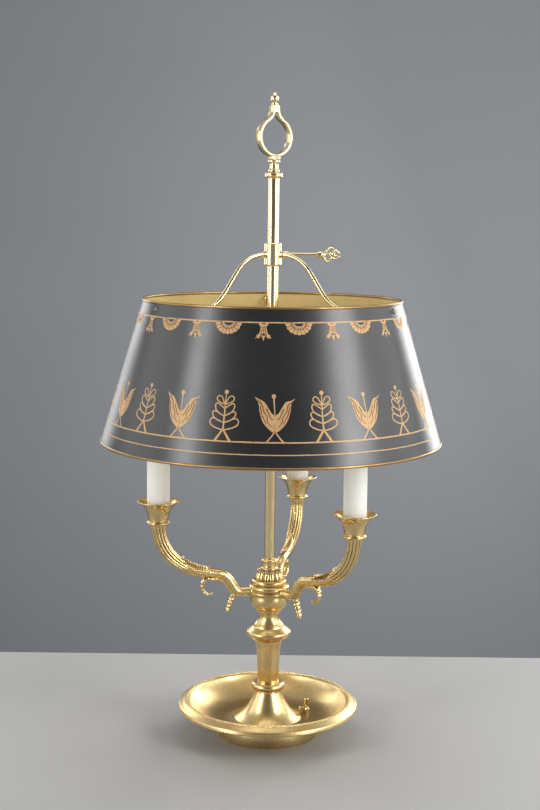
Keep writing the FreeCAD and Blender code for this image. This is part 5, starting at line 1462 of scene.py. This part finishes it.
class LAMP_OT_stage(bpy.types.Operator):
    """Lay the floor, hang the backdrop, and set the lamps and the camera"""
    bl_idname = "lamp.stage"
    bl_label = "Stage"

    def execute(self, context):
        stage = context.scene.lamp_stage
        context.scene.view_settings.view_transform = "Standard"
        self.world(context)
        plain_material("table_top", stage.floor_colour, 0.6, 12.0, 0.03, 0.0, 0.0)
        self.backdrop(stage.wall_colour)
        floor = self.sheet("table", [(-3, -3, 0), (3, -3, 0), (3, 0.305, 0), (-3, 0.305, 0)], "table_top")
        wall = self.sheet("wall", [(-4, 2.5, -2), (4, 2.5, -2), (4, 2.5, 2.2), (-4, 2.5, 2.2)], "backdrop")
        softboxes = (
            ("left_front", -60, 2.4, 1.55, (0.6, 1.3), 18), ("right_front", 60, 2.4, 1.5, (1.0, 1.3), 33),
            ("left_low", -48, 2.2, 0.5, (0.5, 0.9), 12), ("right_low", 46, 2.2, 0.5, (0.5, 0.9), 13),
            ("left_side", -96, 2.2, 0.9, (1.5, 1.4), 7), ("right_side", 96, 2.2, 0.9, (1.5, 1.4), 9.5),
            ("left_back", -143, 2.2, 0.9, (0.8, 1.5), 11), ("right_back", 142, 2.2, 0.9, (1.0, 1.5), 24),
        )
        spared = bpy.data.collections.new("stage_floor")
        spared.objects.link(floor)
        spared.collection_objects[0].light_linking.link_state = "EXCLUDE"
        for name, azimuth, away, up, size, power in softboxes:
            place = towards(azimuth) * away + Vector((0, 0, up))
            box = self.lamp(name, place, (0, 0, 0.4), size, power * stage.lamp_power)
            if name.endswith("low"):
                box.light_linking.receiver_collection = spared
        self.lamp("top", (0.1, 0.2, 2.4), (0, 0, 0.2), (1.8, 1.5), 11 * stage.lamp_power)
        self.camera(context, stage)
        return {"FINISHED"}

    def backdrop(self, colour):
        """Grey paper with a painted pool of light, paler low on the right."""
        tree, shader = plain_material("backdrop", colour, 0.9, 3.0, 0.02, 0.0, 0.0)
        where = add(tree, "ShaderNodeTexCoord").outputs["Object"]
        # Painted light: the paper is paler near a spot low on the right and darker away from it.
        away = add(tree, "ShaderNodeVectorMath", {0: where, 1: (0.9, 2.5, 0.35)}, operation="DISTANCE")
        painted_light_falloff = ranged(tree, away.outputs["Value"], 0.2, 2.2)
        tone = mixed(tree, painted_light_falloff, rgba(colour, 1.22), rgba(colour, 0.8))
        tree.links.new(tone, shader.inputs["Base Color"])

    def world(self, context):
        """Soft grey light all round, dim only high in front."""
        world = bpy.data.worlds.new("studio")
        world.use_nodes = True
        context.scene.world = world
        tree = world.node_tree
        background = tree.nodes["Background"]
        where = add(tree, "ShaderNodeTexCoord").outputs["Generated"]
        facing = add(tree, "ShaderNodeVectorMath", {0: where, 1: (0, -0.83, 0.56)}, operation="DOT_PRODUCT")
        dim = ranged(tree, facing.outputs["Value"], 0.6, 0.92)
        tone = mixed(tree, dim, (0.58, 0.59, 0.61, 1), (0.15, 0.15, 0.155, 1))
        tree.links.new(tone, background.inputs["Color"])
        background.inputs["Strength"].default_value = 0.8

    def sheet(self, name, corners, material):
        """One flat sheet of the stage."""
        mesh = bpy.data.meshes.new(name)
        mesh.from_pydata(corners, [], [(0, 1, 2, 3)])
        piece = bpy.data.objects.new(name, mesh)
        bpy.context.scene.collection.objects.link(piece)
        mesh.materials.append(bpy.data.materials[material])
        return piece

    def lamp(self, name, place, aim, size, power):
        """Soft rectangular lamp aimed at a point, itself out of the camera's sight."""
        light = bpy.data.lights.new(name, "AREA")
        light.shape = "RECTANGLE"
        light.size, light.size_y = size
        light.energy = power
        holder = bpy.data.objects.new(name, light)
        holder.location = place
        holder.rotation_euler = (Vector(aim) - Vector(place)).to_track_quat("-Z", "Y").to_euler()
        holder.visible_camera = False
        bpy.context.scene.collection.objects.link(holder)
        return holder

    def camera(self, context, stage):
        """Camera where the photograph was taken from."""
        eye = bpy.data.cameras.new("camera")
        eye.sensor_fit = "VERTICAL"
        eye.sensor_height = 24.0
        eye.lens = 24.0 * 1414.1 / 810
        eye.clip_start, eye.clip_end = 0.05, 50
        holder = bpy.data.objects.new("camera", eye)
        holder.location = (-0.0015, -stage.camera_distance, stage.camera_height)
        tilt = Matrix.Rotation(math.pi / 2 - stage.camera_pitch, 4, "X")
        holder.rotation_euler = (tilt @ Matrix.Rotation(stage.camera_roll, 4, "Z")).to_euler()
        context.scene.collection.objects.link(holder)
        context.scene.camera = holder


class LAMP_PT_panel(bpy.types.Panel):
    """Sidebar panel that lists the lamp's steps"""
    bl_label = "Bouillotte lamp"
    bl_idname = "LAMP_PT_panel"
    bl_space_type = "VIEW_3D"
    bl_region_type = "UI"
    bl_category = "Lamp"

    def draw(self, context):
        layout = self.layout
        for group in (context.scene.lamp_brass, context.scene.lamp_shade, context.scene.lamp_stage):
            box = layout.box()
            for name in group.bl_rna.properties.keys():
                if name not in ("rna_type", "name"):
                    box.prop(group, name)
        for step in STEPS:
            layout.operator(step.bl_idname)


STEPS = (LAMP_OT_finishes, LAMP_OT_base, LAMP_OT_column, LAMP_OT_hub, LAMP_OT_rod, LAMP_OT_arms,
         LAMP_OT_candles, LAMP_OT_shade, LAMP_OT_ornament, LAMP_OT_carriage, LAMP_OT_switch,
         LAMP_OT_inner_pieces, LAMP_OT_stage)
CLASSES = (LampBrass, LampShade, LampStage) + STEPS + (LAMP_PT_panel,)


def register():
    """Register the classes and hang their settings on the scene."""
    for made in CLASSES:
        bpy.utils.register_class(made)
    bpy.types.Scene.lamp_brass = bpy.props.PointerProperty(type=LampBrass)
    bpy.types.Scene.lamp_shade = bpy.props.PointerProperty(type=LampShade)
    bpy.types.Scene.lamp_stage = bpy.props.PointerProperty(type=LampStage)


def unregister():
    """Take the settings off the scene and drop the classes."""
    del bpy.types.Scene.lamp_brass, bpy.types.Scene.lamp_shade, bpy.types.Scene.lamp_stage
    for made in reversed(CLASSES):
        bpy.utils.unregister_class(made)


def main():
    """Register the classes and build every piece in order."""
    register()
    for step in STEPS:
        group, action = step.bl_idname.split(".")
        getattr(getattr(bpy.ops, group), action)()


if __name__ == "__main__":
    main()
